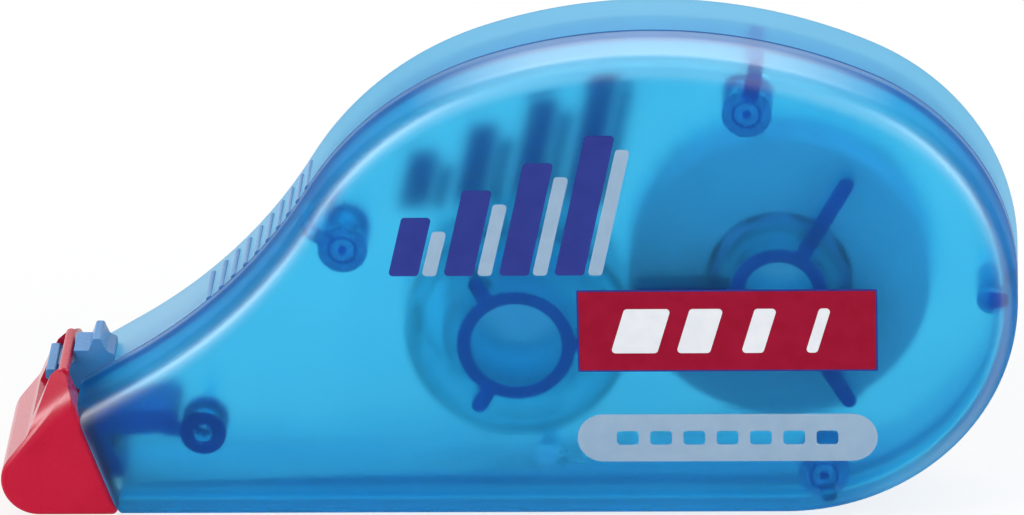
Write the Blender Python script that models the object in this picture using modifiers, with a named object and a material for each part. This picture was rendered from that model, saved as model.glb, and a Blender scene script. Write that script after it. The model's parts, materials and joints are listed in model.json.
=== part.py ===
"""Pocket correction tape: a two-shell case with a geared supply roll and
take-up reel, an applicator head and a flip cap over the tip.

Modelled as seen from the front: X to the right, Y up, Z towards the viewer.
The parent empty then stands it on its flat bottom edge, tip towards -X.
"""
import math

import bmesh
import bpy
from mathutils import Matrix, Vector

MM = 0.001

# Case: the side outline is a chain of tangent arcs, from heel to shoulder,
# and the neck's arc runs on into a straight slope under the cap's hinge
LENGTH = 80.0 * MM
THICKNESS = 12.5 * MM
WALL = 1.2 * MM
HEEL_RADIUS = 18.27 * MM
BACK_RADIUS = 19.36 * MM
CROWN_RADIUS = 40.68 * MM
SHOULDER_RADIUS = 25.9 * MM
NECK_RADIUS = 41.82 * MM
BACK_END = 65.0
CROWN_END = 109.0
NECK_SLOPE = 31.1
NECK_HEIGHT = 9.1 * MM
FRONT_ROUNDING = 2.1 * MM
BACK_ROUNDING = 0.6 * MM
SPLIT = 0.55 * MM
SEAM = 0.3 * MM

# Clearances: between moving pieces, and between pieces that are seated
RUN = 0.3 * MM
SEAT = 0.25 * MM
BITE = 0.4 * MM

# Tape and film
TAPE_WIDTH = 4.2 * MM
TAPE_THICKNESS = 0.15 * MM
ROLL_RADIUS = 11.8 * MM
FILM_BUILD = 0.3 * MM

# Gears
SUPPLY_TEETH = 40
TAKE_UP_TEETH = 30
ADDENDUM = 0.5 * MM
DEDENDUM = 0.68 * MM
BACKLASH = 0.24 * MM
GEAR_FACE = 1.8 * MM

# Take-up reel
TAKE_UP_SPINDLE = 4.66 * MM
TAKE_UP_BORE = 3.58 * MM
TAKE_UP_RIB = 6.6 * MM
TAKE_UP_HUB_WALL = 0.9 * MM
DRUM_RADIUS = 8.3 * MM
DRUM_WALL = 0.8 * MM
FLANGE_RIM = 0.6 * MM
FLANGE = 0.5 * MM
WEB = 0.8 * MM

# Supply roll, from its spindle outwards
SUPPLY_SHIFT = -0.29 * MM
SUPPLY_LIFT = 0.95 * MM
SUPPLY_ANGLE = 12.0
SUPPLY_SPINDLE = 3.87 * MM
SUPPLY_BORE = 2.7 * MM
SUPPLY_RIB = 11.3 * MM
SLEEVE_WALL = 0.45 * MM
CLUTCH_WALL = 0.5 * MM
CLUTCH_LOBE = 0.22 * MM
CLUTCH_LOBES = 8
CORE_WALL = 0.7 * MM

# Ribs and assembly posts in the case
RIB = 1.25 * MM
STUB = 1.6 * MM
POST_RADIUS = 1.95 * MM
SIDE_POST_RADIUS = 1.2 * MM
PIN_RADIUS = 0.65 * MM
PIN_LENGTH = 2.6 * MM
TOP_POST_ANGLE = 78.0
TOP_POST_INSET = 4.3 * MM
NECK_POST_TURN = 1.6
NECK_POST_INSET = 4.2 * MM
HEEL_POST_ANGLE = 281.6
HEEL_POST_INSET = 3.1 * MM
SIDE_POST_ANGLE = 1.0
SIDE_POST_INSET = 2.0 * MM
GUIDE_RADIUS = 0.9 * MM
GUIDE_CLEAR = 1.15 * MM
GUIDE_SHIFT = 2.1 * MM

# Grip ribs on the rim of the back shell
GRIP_RIBS = 10
GRIP_TURN = 0.2
GRIP_SPAN = 17.2
GRIP_WIDTH = 0.6 * MM
GRIP_RISE = 0.35 * MM
GRIP_MARGIN = 0.5 * MM

# Applicator head
TIP_SETBACK = 3.1 * MM
TIP_HEIGHT = 2.0 * MM
TIP_RADIUS = 0.4 * MM
BLADE_LENGTH = 5.3 * MM
BLADE_RISE = 1.7 * MM
BLADE_CORNER = 0.8 * MM
STEM_RISE = 4.8 * MM
STEM_RADIUS = 1.0 * MM
SIDE_PLATE = 0.5 * MM
EYELET_REACH = 13.0 * MM
EYELET_CLEAR = 0.38 * MM
EYELET_RADIUS = 1.83 * MM
EYELET_POST = 0.5 * MM

# Flip cap and its hinge
HINGE_INSET = 5.15 * MM
HINGE_RISE = 2.7 * MM
MOUTH_ANGLE = -71.5
MOUTH_SHIFT = 0.5 * MM
BAR_RADIUS = 0.45 * MM
EAR_RADIUS = 0.8 * MM
EAR_LENGTH = 0.6 * MM
CAP_INSET = 0.15 * MM
CAP_FOOT = 0.5 * MM
CAP_HEEL_RADIUS = 0.6 * MM
CAP_WALL = 1.2 * MM
CAP_ROUNDING = 0.5 * MM
CREASE_ANGLE = 41.8
CREASE_DROP = 1.0 * MM
CREASE_LEAN = 28.0
NOSE_RADIUS = 2.95 * MM
WAIST_RADIUS = 2.4 * MM
WAIST_GAP = 0.42 * MM
WAIST_ANGLE = 119.0
WINDOW_DROP = 3.9 * MM
LUG_LENGTH = 3.75 * MM
LUG_RISE = 1.45 * MM
TONGUE = 0.85 * MM
TONGUE_DROP = 0.5 * MM

HALF = THICKNESS / 2
INNER = HALF - WALL
TAPE_HALF = TAPE_WIDTH / 2
REEL_HALF = TAPE_HALF + RUN
GEAR_BACK = -REEL_HALF - GEAR_FACE
REEL_FRONT = REEL_HALF + FLANGE
HEAD_HALF = REEL_HALF + SIDE_PLATE
CAP_HALF = HALF - CAP_INSET
CAP_INNER = HEAD_HALF + RUN
FRONT_EDGE = SPLIT + SEAM / 2
BACK_EDGE = SPLIT - SEAM / 2
FAR = LENGTH

for old in list(bpy.data.objects):
    bpy.data.objects.remove(old, do_unlink=True)

parts = bpy.data.collections.new("correction_tape")
cutters = bpy.data.collections.new("cutters")
bpy.context.scene.collection.children.link(parts)
bpy.context.scene.collection.children.link(cutters)

stand = bpy.data.objects.new("stand", None)
stand.rotation_euler = (math.pi / 2, 0, 0)
parts.objects.link(stand)


def polar(radius, degrees):
    angle = math.radians(degrees)
    return Vector((radius * math.cos(angle), radius * math.sin(angle)))


def arc(centre, radius, start, end, steps):
    """Points of an arc, both ends included."""
    span = (end - start) / steps
    return [centre + polar(radius, start + span * i) for i in range(steps + 1)]


def circle(radius, steps, centre=Vector((0, 0))):
    return arc(centre, radius, 0, 360, steps)[:-1]


def case_arcs():
    """Centres of the arcs of the case's outline, each tangent to the last."""
    heel = Vector((LENGTH / 2 - HEEL_RADIUS, HEEL_RADIUS))
    back = heel + polar(HEEL_RADIUS - BACK_RADIUS, 0)
    crown = back + polar(BACK_RADIUS - CROWN_RADIUS, BACK_END)
    shoulder = crown + polar(CROWN_RADIUS - SHOULDER_RADIUS, CROWN_END)
    return heel, back, crown, shoulder


def neck_arc(shoulder):
    """Centre of the arc that joins the shoulder to the neck's slope."""
    along = polar(1, NECK_SLOPE)
    start = NECK_SEAT + polar(NECK_RADIUS, NECK_SLOPE + 90) - shoulder
    reach = SHOULDER_RADIUS + NECK_RADIUS
    middle = start.dot(along)
    back = math.sqrt(middle ** 2 - start.length_squared + reach ** 2)
    return shoulder + start - along * (middle + back)


HINGE_X = -LENGTH / 2 + HINGE_INSET
NECK_SEAT = Vector((HINGE_X, NECK_HEIGHT))
HEEL, BACK, CROWN, SHOULDER = case_arcs()
NECK = neck_arc(SHOULDER)
SHOULDER_END = math.degrees(math.atan2(NECK.y - SHOULDER.y, NECK.x - SHOULDER.x))
NECK_START = SHOULDER_END + 180
NECK_END = NECK_SLOPE + 270
NECK_FOOT = NECK + polar(NECK_RADIUS, NECK_END)
NECK_RUN = polar(1, NECK_SLOPE + 180)


def neck_height(x):
    """Height of the straight top of the neck at x."""
    return NECK_FOOT.y + (x - NECK_FOOT.x) * NECK_RUN.y / NECK_RUN.x


def case_outline(inset):
    """The case's outline moved inwards; the mouth is cut afterwards."""
    low = arc(HEEL, HEEL_RADIUS - inset, -90, 0, 10)
    rear = arc(BACK, BACK_RADIUS - inset, 0, BACK_END, 7)
    top = arc(CROWN, CROWN_RADIUS - inset, BACK_END, CROWN_END, 8)
    shoulder = arc(SHOULDER, SHOULDER_RADIUS - inset, CROWN_END, SHOULDER_END, 6)
    neck = arc(NECK, NECK_RADIUS + inset, NECK_START, NECK_END, 6)
    points = low + rear[1:] + top[1:] + shoulder[1:] + neck[1:]
    nose = points[-1] + NECK_RUN * max(LENGTH / 2 + NECK_FOOT.x, WALL)
    return points + [nose, Vector((nose.x, inset))]


def tangent(first, second):
    """Heading in degrees of a belt's straight run between two round stops.

    A stop is (centre, radius, sense), with sense 1 counter-clockwise."""
    across = second[0] - first[0]
    shift = first[1] * first[2] - second[1] * second[2]
    lean = math.asin(shift / across.length)
    return math.degrees(math.atan2(across.y, across.x) + lean)


def wrap(stop, enter, leave, spacing):
    """Points round a stop between two headings."""
    start = enter - 90 * stop[2]
    turn = (leave - enter) * stop[2] % 360
    if turn > 359.9:
        turn = 0
    steps = max(1, math.ceil(turn / spacing))
    return arc(stop[0], stop[1], start, start + turn * stop[2], steps)


def loop(stops, spacing=20):
    """Closed outline drawn tightly round a ring of stops."""
    count = len(stops)
    headings = [tangent(stops[i], stops[(i + 1) % count]) for i in range(count)]
    points = []
    for i, stop in enumerate(stops):
        points += wrap(stop, headings[i - 1], headings[i], spacing)
    return points


def fresh(points):
    """The points without the ones that repeat their neighbour."""
    kept = []
    for i, point in enumerate(points):
        if (point - points[i - 1]).length > 0.01 * MM:
            kept.append(point)
    return kept


def mesh_from(obj):
    """Welded mesh of a curve object, which is then removed."""
    bpy.context.view_layer.update()
    graph = bpy.context.evaluated_depsgraph_get()
    mesh = bpy.data.meshes.new_from_object(obj.evaluated_get(graph))
    mesh.transform(obj.matrix_world)
    work = bmesh.new()
    work.from_mesh(mesh)
    bmesh.ops.remove_doubles(work, verts=work.verts, dist=0.002 * MM)
    bmesh.ops.recalc_face_normals(work, faces=work.faces)
    work.to_mesh(mesh)
    work.free()
    data = obj.data
    bpy.data.objects.remove(obj)
    bpy.data.curves.remove(data)
    return mesh


def plate(outlines, low, high, rounding=0.0, steps=2):
    """Flat outline, with any holes, drawn out between two depths."""
    curve = bpy.data.curves.new("outline", "CURVE")
    curve.dimensions = "2D"
    curve.fill_mode = "BOTH"
    curve.extrude = (high - low) / 2 - rounding
    curve.bevel_depth = rounding
    curve.bevel_resolution = steps
    curve.offset = -rounding
    for outline in outlines:
        points = fresh(outline)
        spline = curve.splines.new("POLY")
        spline.points.add(len(points) - 1)
        for target, point in zip(spline.points, points):
            target.co = (point.x, point.y, 0, 1)
        spline.use_cyclic_u = True
    obj = bpy.data.objects.new("outline", curve)
    obj.location.z = (low + high) / 2
    parts.objects.link(obj)
    return mesh_from(obj)


def rod(radius, low, high, steps=24):
    """Round rod along Z."""
    work = bmesh.new()
    place = Matrix.Translation((0, 0, (low + high) / 2))
    bmesh.ops.create_cone(work, cap_ends=True, segments=steps, radius1=radius,
                          radius2=radius, depth=high - low, matrix=place)
    mesh = bpy.data.meshes.new("rod")
    work.to_mesh(mesh)
    work.free()
    return mesh


def bar(start, end, width, low, high):
    """Straight bar between two points of the front view."""
    run = end - start
    middle = (start + end) / 2
    place = Matrix.Translation((middle.x, middle.y, (low + high) / 2))
    place = place @ Matrix.Rotation(math.atan2(run.y, run.x), 4, "Z")
    size = (run.length, width, high - low)
    work = bmesh.new()
    bmesh.ops.create_cube(work, size=1, matrix=place @ Matrix.Diagonal((*size, 1)))
    mesh = bpy.data.meshes.new("bar")
    work.to_mesh(mesh)
    work.free()
    return mesh


def turned(profile, steps):
    """Mesh of a ring turned about Z from a closed (radius, height) profile."""
    work = bmesh.new()
    corners = [work.verts.new((radius, 0, height)) for radius, height in profile]
    for i, corner in enumerate(corners):
        work.edges.new((corners[i - 1], corner))
    mesh = bpy.data.meshes.new("profile")
    work.to_mesh(mesh)
    work.free()
    obj = bpy.data.objects.new("profile", mesh)
    parts.objects.link(obj)
    screw = obj.modifiers.new("turn", "SCREW")
    screw.steps = steps
    screw.render_steps = steps
    screw.use_merge_vertices = True
    screw.merge_threshold = 0.002 * MM
    bpy.context.view_layer.update()
    graph = bpy.context.evaluated_depsgraph_get()
    result = bpy.data.meshes.new_from_object(obj.evaluated_get(graph))
    bpy.data.objects.remove(obj)
    bpy.data.meshes.remove(mesh)
    work = bmesh.new()
    work.from_mesh(result)
    bmesh.ops.recalc_face_normals(work, faces=work.faces)
    work.to_mesh(result)
    work.free()
    return result


def material(name, colour, roughness, transmission=0.0):
    made = bpy.data.materials.new(name)
    made.use_nodes = True
    shader = made.node_tree.nodes["Principled BSDF"]
    shader.inputs["Base Color"].default_value = (*colour, 1)
    shader.inputs["Roughness"].default_value = roughness
    shader.inputs["Metallic"].default_value = 0.0
    shader.inputs["Transmission Weight"].default_value = transmission
    made.diffuse_color = (*colour, 1)
    return made


def piece(name, mesh, look, pivot=None):
    """A named part; a pivot puts its origin on its joint's axis."""
    mesh.name = name
    obj = bpy.data.objects.new(name, mesh)
    if pivot is not None:
        mesh.transform(Matrix.Translation((-pivot.x, -pivot.y, 0)))
        obj.location = (pivot.x, pivot.y, 0)
    obj.parent = stand
    mesh.materials.clear()
    mesh.materials.append(look)
    mesh.shade_smooth()
    mesh.set_sharp_from_angle(angle=math.radians(35))
    parts.objects.link(obj)
    return obj


def work_on(target, operation, name, mesh, place=None):
    """Boolean of a hidden tool shape on a part."""
    tool = bpy.data.objects.new(target.name + "_" + name, mesh)
    if place is not None:
        tool.location = (place.x, place.y, 0)
    tool.parent = stand
    tool.hide_render = True
    tool.display_type = "WIRE"
    cutters.objects.link(tool)
    step = target.modifiers.new(name, "BOOLEAN")
    step.operation = operation
    step.solver = "EXACT"
    step.object = tool


def moved(mesh, place):
    mesh.transform(Matrix.Translation((place.x, place.y, 0)))
    return mesh


SHELL = material("shell_blue", (0.03, 0.30, 0.70), 0.3, 0.8)
CAP = material("cap_red", (0.55, 0.016, 0.05), 0.25)
HEAD = material("head_navy", (0.05, 0.06, 0.32), 0.35)
GEAR = material("gear_blue", (0.02, 0.25, 0.60), 0.4)
CLUTCH = material("clutch_navy", (0.05, 0.08, 0.35), 0.4)
CORE = material("core_blue", (0.03, 0.22, 0.55), 0.4)
TAPE = material("tape_white", (0.85, 0.86, 0.86), 0.6)
FILM = material("film_grey", (0.60, 0.64, 0.68), 0.3, 0.5)

# The two reels lie side by side with a running gap, which sets the gears' module
FLANGE_RADIUS = DRUM_RADIUS + FLANGE_RIM
CENTRES = ROLL_RADIUS + FLANGE_RADIUS + RUN
MODULE = 2 * CENTRES / (SUPPLY_TEETH + TAKE_UP_TEETH)
SUPPLY = HEEL + Vector((SUPPLY_SHIFT, SUPPLY_LIFT))
TAKE_UP = SUPPLY - polar(CENTRES, SUPPLY_ANGLE)
GUIDE = TAKE_UP + Vector((GUIDE_SHIFT, -FLANGE_RADIUS - GUIDE_CLEAR - GUIDE_RADIUS))
HINGE = NECK_SEAT + Vector((0, HINGE_RISE))
MOUTH = polar(1, MOUTH_ANGLE)
MOUTH_OUT = Vector((MOUTH.y, -MOUTH.x))
TIP = Vector((-LENGTH / 2 + TIP_SETBACK, TIP_HEIGHT))
BLADE = TIP + Vector((BLADE_LENGTH, BLADE_RISE))

# Tape and film route: off the bottom of the roll, under the guide, round the
# tip, and back over the blade to the bottom of the take-up drum
FILM_BORE = DRUM_RADIUS + SEAT
FILM_RADIUS = FILM_BORE + FILM_BUILD
LIFT = SEAT + TAPE_THICKNESS / 2
ROUTE = [(SUPPLY, ROLL_RADIUS + LIFT, -1), (GUIDE, GUIDE_RADIUS + LIFT, -1),
         (TIP, TIP_RADIUS + LIFT, -1), (BLADE, BLADE_CORNER + LIFT, -1),
         (TAKE_UP, FILM_RADIUS + LIFT, 1)]
HEADINGS = [tangent(a, b) for a, b in zip(ROUTE, ROUTE[1:])]


def film_height(x):
    """Height of the film at x on its way from the blade to the take-up drum."""
    start = BLADE + polar(ROUTE[3][1], HEADINGS[3] + 90)
    return start.y + (x - start.x) * math.tan(math.radians(HEADINGS[3]))


EYELET_X = TIP.x + EYELET_REACH
EYELET = Vector((EYELET_X, film_height(EYELET_X) + EYELET_CLEAR + EYELET_RADIUS))

POSTS = {
    "top": (CROWN + polar(CROWN_RADIUS - TOP_POST_INSET, TOP_POST_ANGLE),
            POST_RADIUS, CROWN + polar(CROWN_RADIUS - WALL / 2, TOP_POST_ANGLE)),
    "neck": (NECK + polar(NECK_RADIUS + NECK_POST_INSET, NECK_START - NECK_POST_TURN),
             POST_RADIUS,
             NECK + polar(NECK_RADIUS + WALL / 2, NECK_START - NECK_POST_TURN)),
    "heel": (HEEL + polar(HEEL_RADIUS - HEEL_POST_INSET, HEEL_POST_ANGLE),
             POST_RADIUS, HEEL + polar(HEEL_RADIUS - WALL / 2, HEEL_POST_ANGLE)),
    "side": (BACK + polar(BACK_RADIUS - SIDE_POST_INSET, SIDE_POST_ANGLE),
             SIDE_POST_RADIUS,
             BACK + polar(BACK_RADIUS - WALL / 2, SIDE_POST_ANGLE)),
}


def mouth_block(gap):
    """Everything ahead of the mouth, which lies on a line through the hinge."""
    start = HINGE + MOUTH_OUT * (FAR / 2 - gap - MOUTH_SHIFT)
    return bar(start - MOUTH * FAR, start + MOUTH * FAR, FAR, -FAR, FAR)


def slab(point, along, facing):
    """Large block resting with one face at a point and facing away from it."""
    across = facing.cross(along)
    turn = Matrix((along, across, facing)).transposed().to_4x4()
    place = Matrix.Translation(point + facing * FAR / 2) @ turn
    work = bmesh.new()
    bmesh.ops.create_cube(work, size=FAR, matrix=place)
    mesh = bpy.data.meshes.new("slab")
    work.to_mesh(mesh)
    work.free()
    return mesh


def half_block(low, high):
    return bar(Vector((-FAR, 0)), Vector((FAR, 0)), 2 * FAR, low, high)


def cavity():
    rounding = FRONT_ROUNDING - WALL
    return plate([case_outline(WALL)], -INNER, INNER, rounding, 1)


# Front shell: spindles for both reels with their ribs, and the post sockets
front = piece("front_shell",
              plate([case_outline(0)], -HALF, HALF, FRONT_ROUNDING, 2), SHELL)
work_on(front, "DIFFERENCE", "rear_half", half_block(-FAR, FRONT_EDGE))
work_on(front, "DIFFERENCE", "cavity", cavity())
work_on(front, "DIFFERENCE", "mouth", mouth_block(-SEAM / 2))

SPINDLES = {
    "supply": (SUPPLY, SUPPLY_SPINDLE, SUPPLY_BORE, SUPPLY_RIB, 60),
    "take_up": (TAKE_UP, TAKE_UP_SPINDLE, TAKE_UP_BORE, TAKE_UP_RIB, 0),
}
SPINDLE_END = GEAR_BACK
for label, (centre, outer, bore, reach, turn) in SPINDLES.items():
    spindle = rod(outer, SPINDLE_END, INNER + BITE, 32)
    work_on(front, "UNION", label + "_spindle", spindle, centre)
    for k in range(3):
        heading = turn + 120 * k
        inside = polar((outer + bore) / 2, heading)
        rib = bar(inside, polar(reach, heading), RIB, REEL_FRONT + RUN,
                  INNER + BITE)
        work_on(front, "UNION", label + "_rib_" + str(k), rib, centre)
    hole = rod(bore, SPINDLE_END - RUN, INNER - BITE / 2, 32)
    work_on(front, "DIFFERENCE", label + "_bore", hole, centre)

for label, (centre, radius, foot) in POSTS.items():
    post = rod(radius, FRONT_EDGE + SEAT, INNER + BITE, 20)
    work_on(front, "UNION", label + "_post", post, centre)
    tie = bar(centre, foot, RIB, FRONT_EDGE + SEAT + BITE, INNER + BITE)
    work_on(front, "UNION", label + "_tie", tie)
    socket = rod(PIN_RADIUS + SEAT, SPLIT, FRONT_EDGE + PIN_LENGTH + SEAT, 12)
    work_on(front, "DIFFERENCE", label + "_socket", socket, centre)

# Back shell: pins for the sockets, stubs in the spindles, thrust rings,
# the tape guide and the post of the head
back = piece("back_shell",
             plate([case_outline(0)], -HALF, HALF, BACK_ROUNDING, 1), SHELL)
work_on(back, "DIFFERENCE", "front_half", half_block(BACK_EDGE, FAR))
work_on(back, "DIFFERENCE", "cavity", cavity())
work_on(back, "DIFFERENCE", "mouth", mouth_block(-SEAM / 2))

FLOOR = -INNER - BITE
for label, (centre, radius, foot) in POSTS.items():
    post = rod(radius, FLOOR, BACK_EDGE - SEAT, 20)
    work_on(back, "UNION", label + "_post", post, centre)
    tie = bar(centre, foot, RIB, FLOOR, BACK_EDGE - SEAT - BITE)
    work_on(back, "UNION", label + "_tie", tie)
    pin = rod(PIN_RADIUS, FLOOR + BITE / 2, FRONT_EDGE + PIN_LENGTH, 12)
    work_on(back, "UNION", label + "_pin", pin, centre)

for label, (centre, outer, bore, reach, turn) in SPINDLES.items():
    ring = rod(outer + RUN + WALL, FLOOR, GEAR_BACK - RUN, 32)
    work_on(back, "UNION", label + "_ring", ring, centre)
    stub = rod(bore - SEAT, FLOOR + BITE / 2, SPINDLE_END + STUB, 24)
    work_on(back, "UNION", label + "_stub", stub, centre)

guide = rod(GUIDE_RADIUS, FLOOR, REEL_HALF, 16)
work_on(back, "UNION", "guide", guide, GUIDE)
head_post = rod(EYELET_POST, FLOOR, HEAD_HALF + SEAT, 12)
work_on(back, "UNION", "head_post", head_post, EYELET)

# Grip ribs across the rim of the back shell, on the curve of the neck
for k in range(GRIP_RIBS):
    heading = NECK_START - GRIP_TURN - GRIP_SPAN * k / (GRIP_RIBS - 1)
    grip = bar(NECK + polar(NECK_RADIUS - GRIP_RISE, heading),
               NECK + polar(NECK_RADIUS + WALL / 2, heading), GRIP_WIDTH,
               -HALF + BACK_ROUNDING + GRIP_MARGIN, BACK_EDGE - GRIP_MARGIN)
    work_on(back, "UNION", "grip_" + str(k), grip)

# Hinge lug on the back shell: a groove for the cap's bar between a tongue
# and a ridged thumb pad
GROOVE = BAR_RADIUS + RUN


def lug_outline():
    left = HINGE + Vector((-GROOVE - TONGUE, -TONGUE_DROP))
    right = HINGE + Vector((GROOVE, 0))
    end = HINGE + Vector((LUG_LENGTH, 0))
    ridge = HINGE + Vector((LUG_LENGTH * 0.65, LUG_RISE))
    step = LUG_RISE * 0.3
    sink = WALL * 0.6
    cup = arc(HINGE, GROOVE, 180, 360, 8)
    under = [Vector((x, neck_height(x) - sink)) for x in (end.x, right.x)]
    return ([left, left + Vector((0, -TONGUE * 1.2))]
            + [Vector((right.x - GROOVE, under[1].y + sink))]
            + [under[1], under[0]]
            + [Vector((end.x, HINGE.y + step / 2))]
            + [Vector((ridge.x + RIB * 0.55, HINGE.y + step))]
            + [ridge + Vector((RIB * 0.3, 0)), ridge - Vector((RIB * 0.3, 0))]
            + [Vector((ridge.x - RIB * 0.55, HINGE.y + step))]
            + [Vector((right.x, HINGE.y + step))]
            + list(reversed(cup))[:-2]
            + [Vector((HINGE.x - GROOVE, left.y))])


lug = plate([lug_outline()], -HEAD_HALF, BACK_EDGE - BITE / 4)
work_on(back, "UNION", "lug", lug)
lip = HINGE + Vector((-GROOVE - BITE / 4, -TONGUE_DROP - TONGUE * 0.55))
tongue = bar(lip, lip - Vector((TONGUE - BITE / 2, 0)), TONGUE,
             -HEAD_HALF + BITE / 4, HEAD_HALF)
work_on(back, "UNION", "tongue", tongue)

# Applicator head: wedge blade, stem above the film, side plates and eyelet
HEEL_STOP = BLADE + Vector((BLADE_CORNER, -BLADE_RISE * 0.6))
STEM_FRONT = TIP + Vector((BLADE_LENGTH * 0.75, STEM_RISE))
PLATE_FRONT = TIP + Vector((BLADE_LENGTH * 0.28, BLADE_RISE * 0.45))
blade = loop([(TIP, TIP_RADIUS, 1), (HEEL_STOP, TIP_RADIUS, 1),
              (BLADE, BLADE_CORNER, 1)])
head = piece("applicator_head",
             plate([blade], -REEL_HALF - BITE / 2, REEL_HALF + BITE / 2), HEAD)
stem = loop([(STEM_FRONT, STEM_RADIUS, 1), (EYELET, STEM_RADIUS, 1)])
work_on(head, "UNION", "eyelet", rod(EYELET_RADIUS, -HEAD_HALF, HEAD_HALF, 24),
        EYELET)
for label, low in (("rear", -HEAD_HALF - BITE / 4), ("front", REEL_HALF)):
    side = loop([(PLATE_FRONT, TIP_RADIUS, 1), (HEEL_STOP, TIP_RADIUS, 1),
                 (STEM_FRONT, STEM_RADIUS * 0.8, 1)])
    side = plate([side], low, low + SIDE_PLATE + BITE / 4)
    work_on(head, "UNION", label + "_plate", side)
work_on(head, "UNION", "stem",
        plate([stem], -REEL_HALF - BITE / 2, REEL_HALF + BITE / 2))
work_on(head, "DIFFERENCE", "eye",
        rod(EYELET_POST + SEAT, -HALF, HALF, 16), EYELET)

# Flip cap: two cheeks, a front wall and the hinge bar
EDGE = SEAM / 2 - MOUTH_SHIFT
CHEEK_TOP = HINGE + MOUTH * BAR_RADIUS + MOUTH_OUT * (EAR_RADIUS + EDGE)
heel_run = (HINGE.y - CAP_FOOT - CAP_HEEL_RADIUS
            + MOUTH_OUT.y * (CAP_HEEL_RADIUS + EDGE)) / -MOUTH.y
CHEEK_HEEL = HINGE + MOUTH * heel_run + MOUTH_OUT * (CAP_HEEL_RADIUS + EDGE)
NOSE = Vector((-LENGTH / 2 + NOSE_RADIUS, CAP_FOOT + NOSE_RADIUS))
WAIST = NOSE + polar(NOSE_RADIUS + WAIST_RADIUS + WAIST_GAP, WAIST_ANGLE)
cheek = loop([(CHEEK_TOP, EAR_RADIUS, 1), (WAIST, WAIST_RADIUS, -1),
              (NOSE, NOSE_RADIUS, 1), (CHEEK_HEEL, CAP_HEEL_RADIUS, 1)], 15)
cap = piece("flip_cap",
            plate([cheek], -CAP_HALF, CAP_HALF, CAP_ROUNDING, 1), CAP, HINGE)
room = loop([(HINGE + Vector((EAR_RADIUS * 4, EAR_RADIUS)), CAP_WALL, 1),
             (WAIST, WAIST_RADIUS + CAP_WALL, -1),
             (NOSE, NOSE_RADIUS - CAP_WALL, 1),
             (Vector((TIP.x, -CAP_WALL)), TIP_RADIUS, 1),
             (Vector((EYELET.x, -CAP_WALL)), TIP_RADIUS, 1)])
work_on(cap, "DIFFERENCE", "room", plate([room], -CAP_INNER, CAP_INNER))
window = bar(HINGE + Vector((-LENGTH / 4, 0)), HINGE + Vector((LENGTH / 4, 0)),
             WINDOW_DROP * 2, -CAP_INNER, CAP_INNER)
work_on(cap, "DIFFERENCE", "window", window)
crease = polar(1, CREASE_ANGLE)
lean = math.radians(CREASE_LEAN)
for label, side in (("rear", -1), ("front", 1)):
    corner = Vector((HINGE.x + MOUTH_SHIFT, HINGE.y - CREASE_DROP, side * CAP_HALF))
    facing = Vector((-crease.y * math.cos(lean), crease.x * math.cos(lean),
                     side * math.sin(lean)))
    block = slab(corner, Vector((crease.x, crease.y, 0)), facing)
    work_on(cap, "DIFFERENCE", label + "_crease", block)
    low, high = sorted((side * CAP_INNER, side * (CAP_INNER + EAR_LENGTH)))
    work_on(cap, "UNION", label + "_ear", rod(EAR_RADIUS, low, high, 20), HINGE)
work_on(cap, "UNION", "hinge_bar",
        rod(BAR_RADIUS, -CAP_INNER - BITE, CAP_INNER + BITE, 16), HINGE)


def gear_outline(teeth, centre_heading):
    """Straight-flanked teeth, one of them centred on the given heading."""
    pitch = MODULE * teeth / 2
    half = math.pi * MODULE / 4 - BACKLASH / 2
    slope = math.tan(math.radians(20))
    levels = ((-DEDENDUM, half + DEDENDUM * slope), (0, half),
              (ADDENDUM, half - ADDENDUM * slope))
    points = []
    for k in range(teeth):
        heading = centre_heading + 360 * k / teeth
        for rise, width in levels:
            radius = pitch + rise
            points.append(polar(radius, heading - math.degrees(width / radius)))
        for rise, width in reversed(levels):
            radius = pitch + rise
            points.append(polar(radius, heading + math.degrees(width / radius)))
    return points


# Supply side: geared sleeve, lobed slip clutch, core and the roll of tape
SLEEVE_BORE = SUPPLY_SPINDLE + RUN
SLEEVE = SLEEVE_BORE + SLEEVE_WALL
CLUTCH_BORE = SLEEVE + SEAT
CLUTCH_MEAN = CLUTCH_BORE + CLUTCH_WALL
CORE_BORE = CLUTCH_MEAN + CLUTCH_LOBE + SEAT
CORE_RADIUS = CORE_BORE + CORE_WALL
ROLL_BORE = CORE_RADIUS + SEAT

gap_heading = SUPPLY_ANGLE + 180 + 180 / SUPPLY_TEETH
disc = plate([gear_outline(SUPPLY_TEETH, gap_heading),
              circle(SLEEVE_BORE + SLEEVE_WALL / 2, 32)], GEAR_BACK, -REEL_HALF)
supply_gear = piece("supply_gear", moved(disc, SUPPLY), GEAR, SUPPLY)
sleeve = turned([(SLEEVE, REEL_HALF), (SLEEVE, GEAR_BACK - RUN / 3),
                 (SLEEVE_BORE, GEAR_BACK - RUN / 3), (SLEEVE_BORE, REEL_HALF)], 32)
work_on(supply_gear, "UNION", "sleeve", sleeve, SUPPLY)

lobed = [polar(CLUTCH_MEAN + CLUTCH_LOBE * math.cos(math.radians(CLUTCH_LOBES * a)),
               a) for a in range(0, 360, 5)]
clutch = plate([lobed, circle(CLUTCH_BORE, 36)], -REEL_HALF + SEAT, TAPE_HALF)
piece("slip_clutch", moved(clutch, SUPPLY), CLUTCH, SUPPLY)

core = turned([(CORE_RADIUS, REEL_HALF), (CORE_RADIUS, -REEL_HALF + SEAT),
               (CORE_BORE, -REEL_HALF + SEAT), (CORE_BORE, REEL_HALF)], 40)
piece("supply_core", moved(core, SUPPLY), CORE, SUPPLY)

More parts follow.
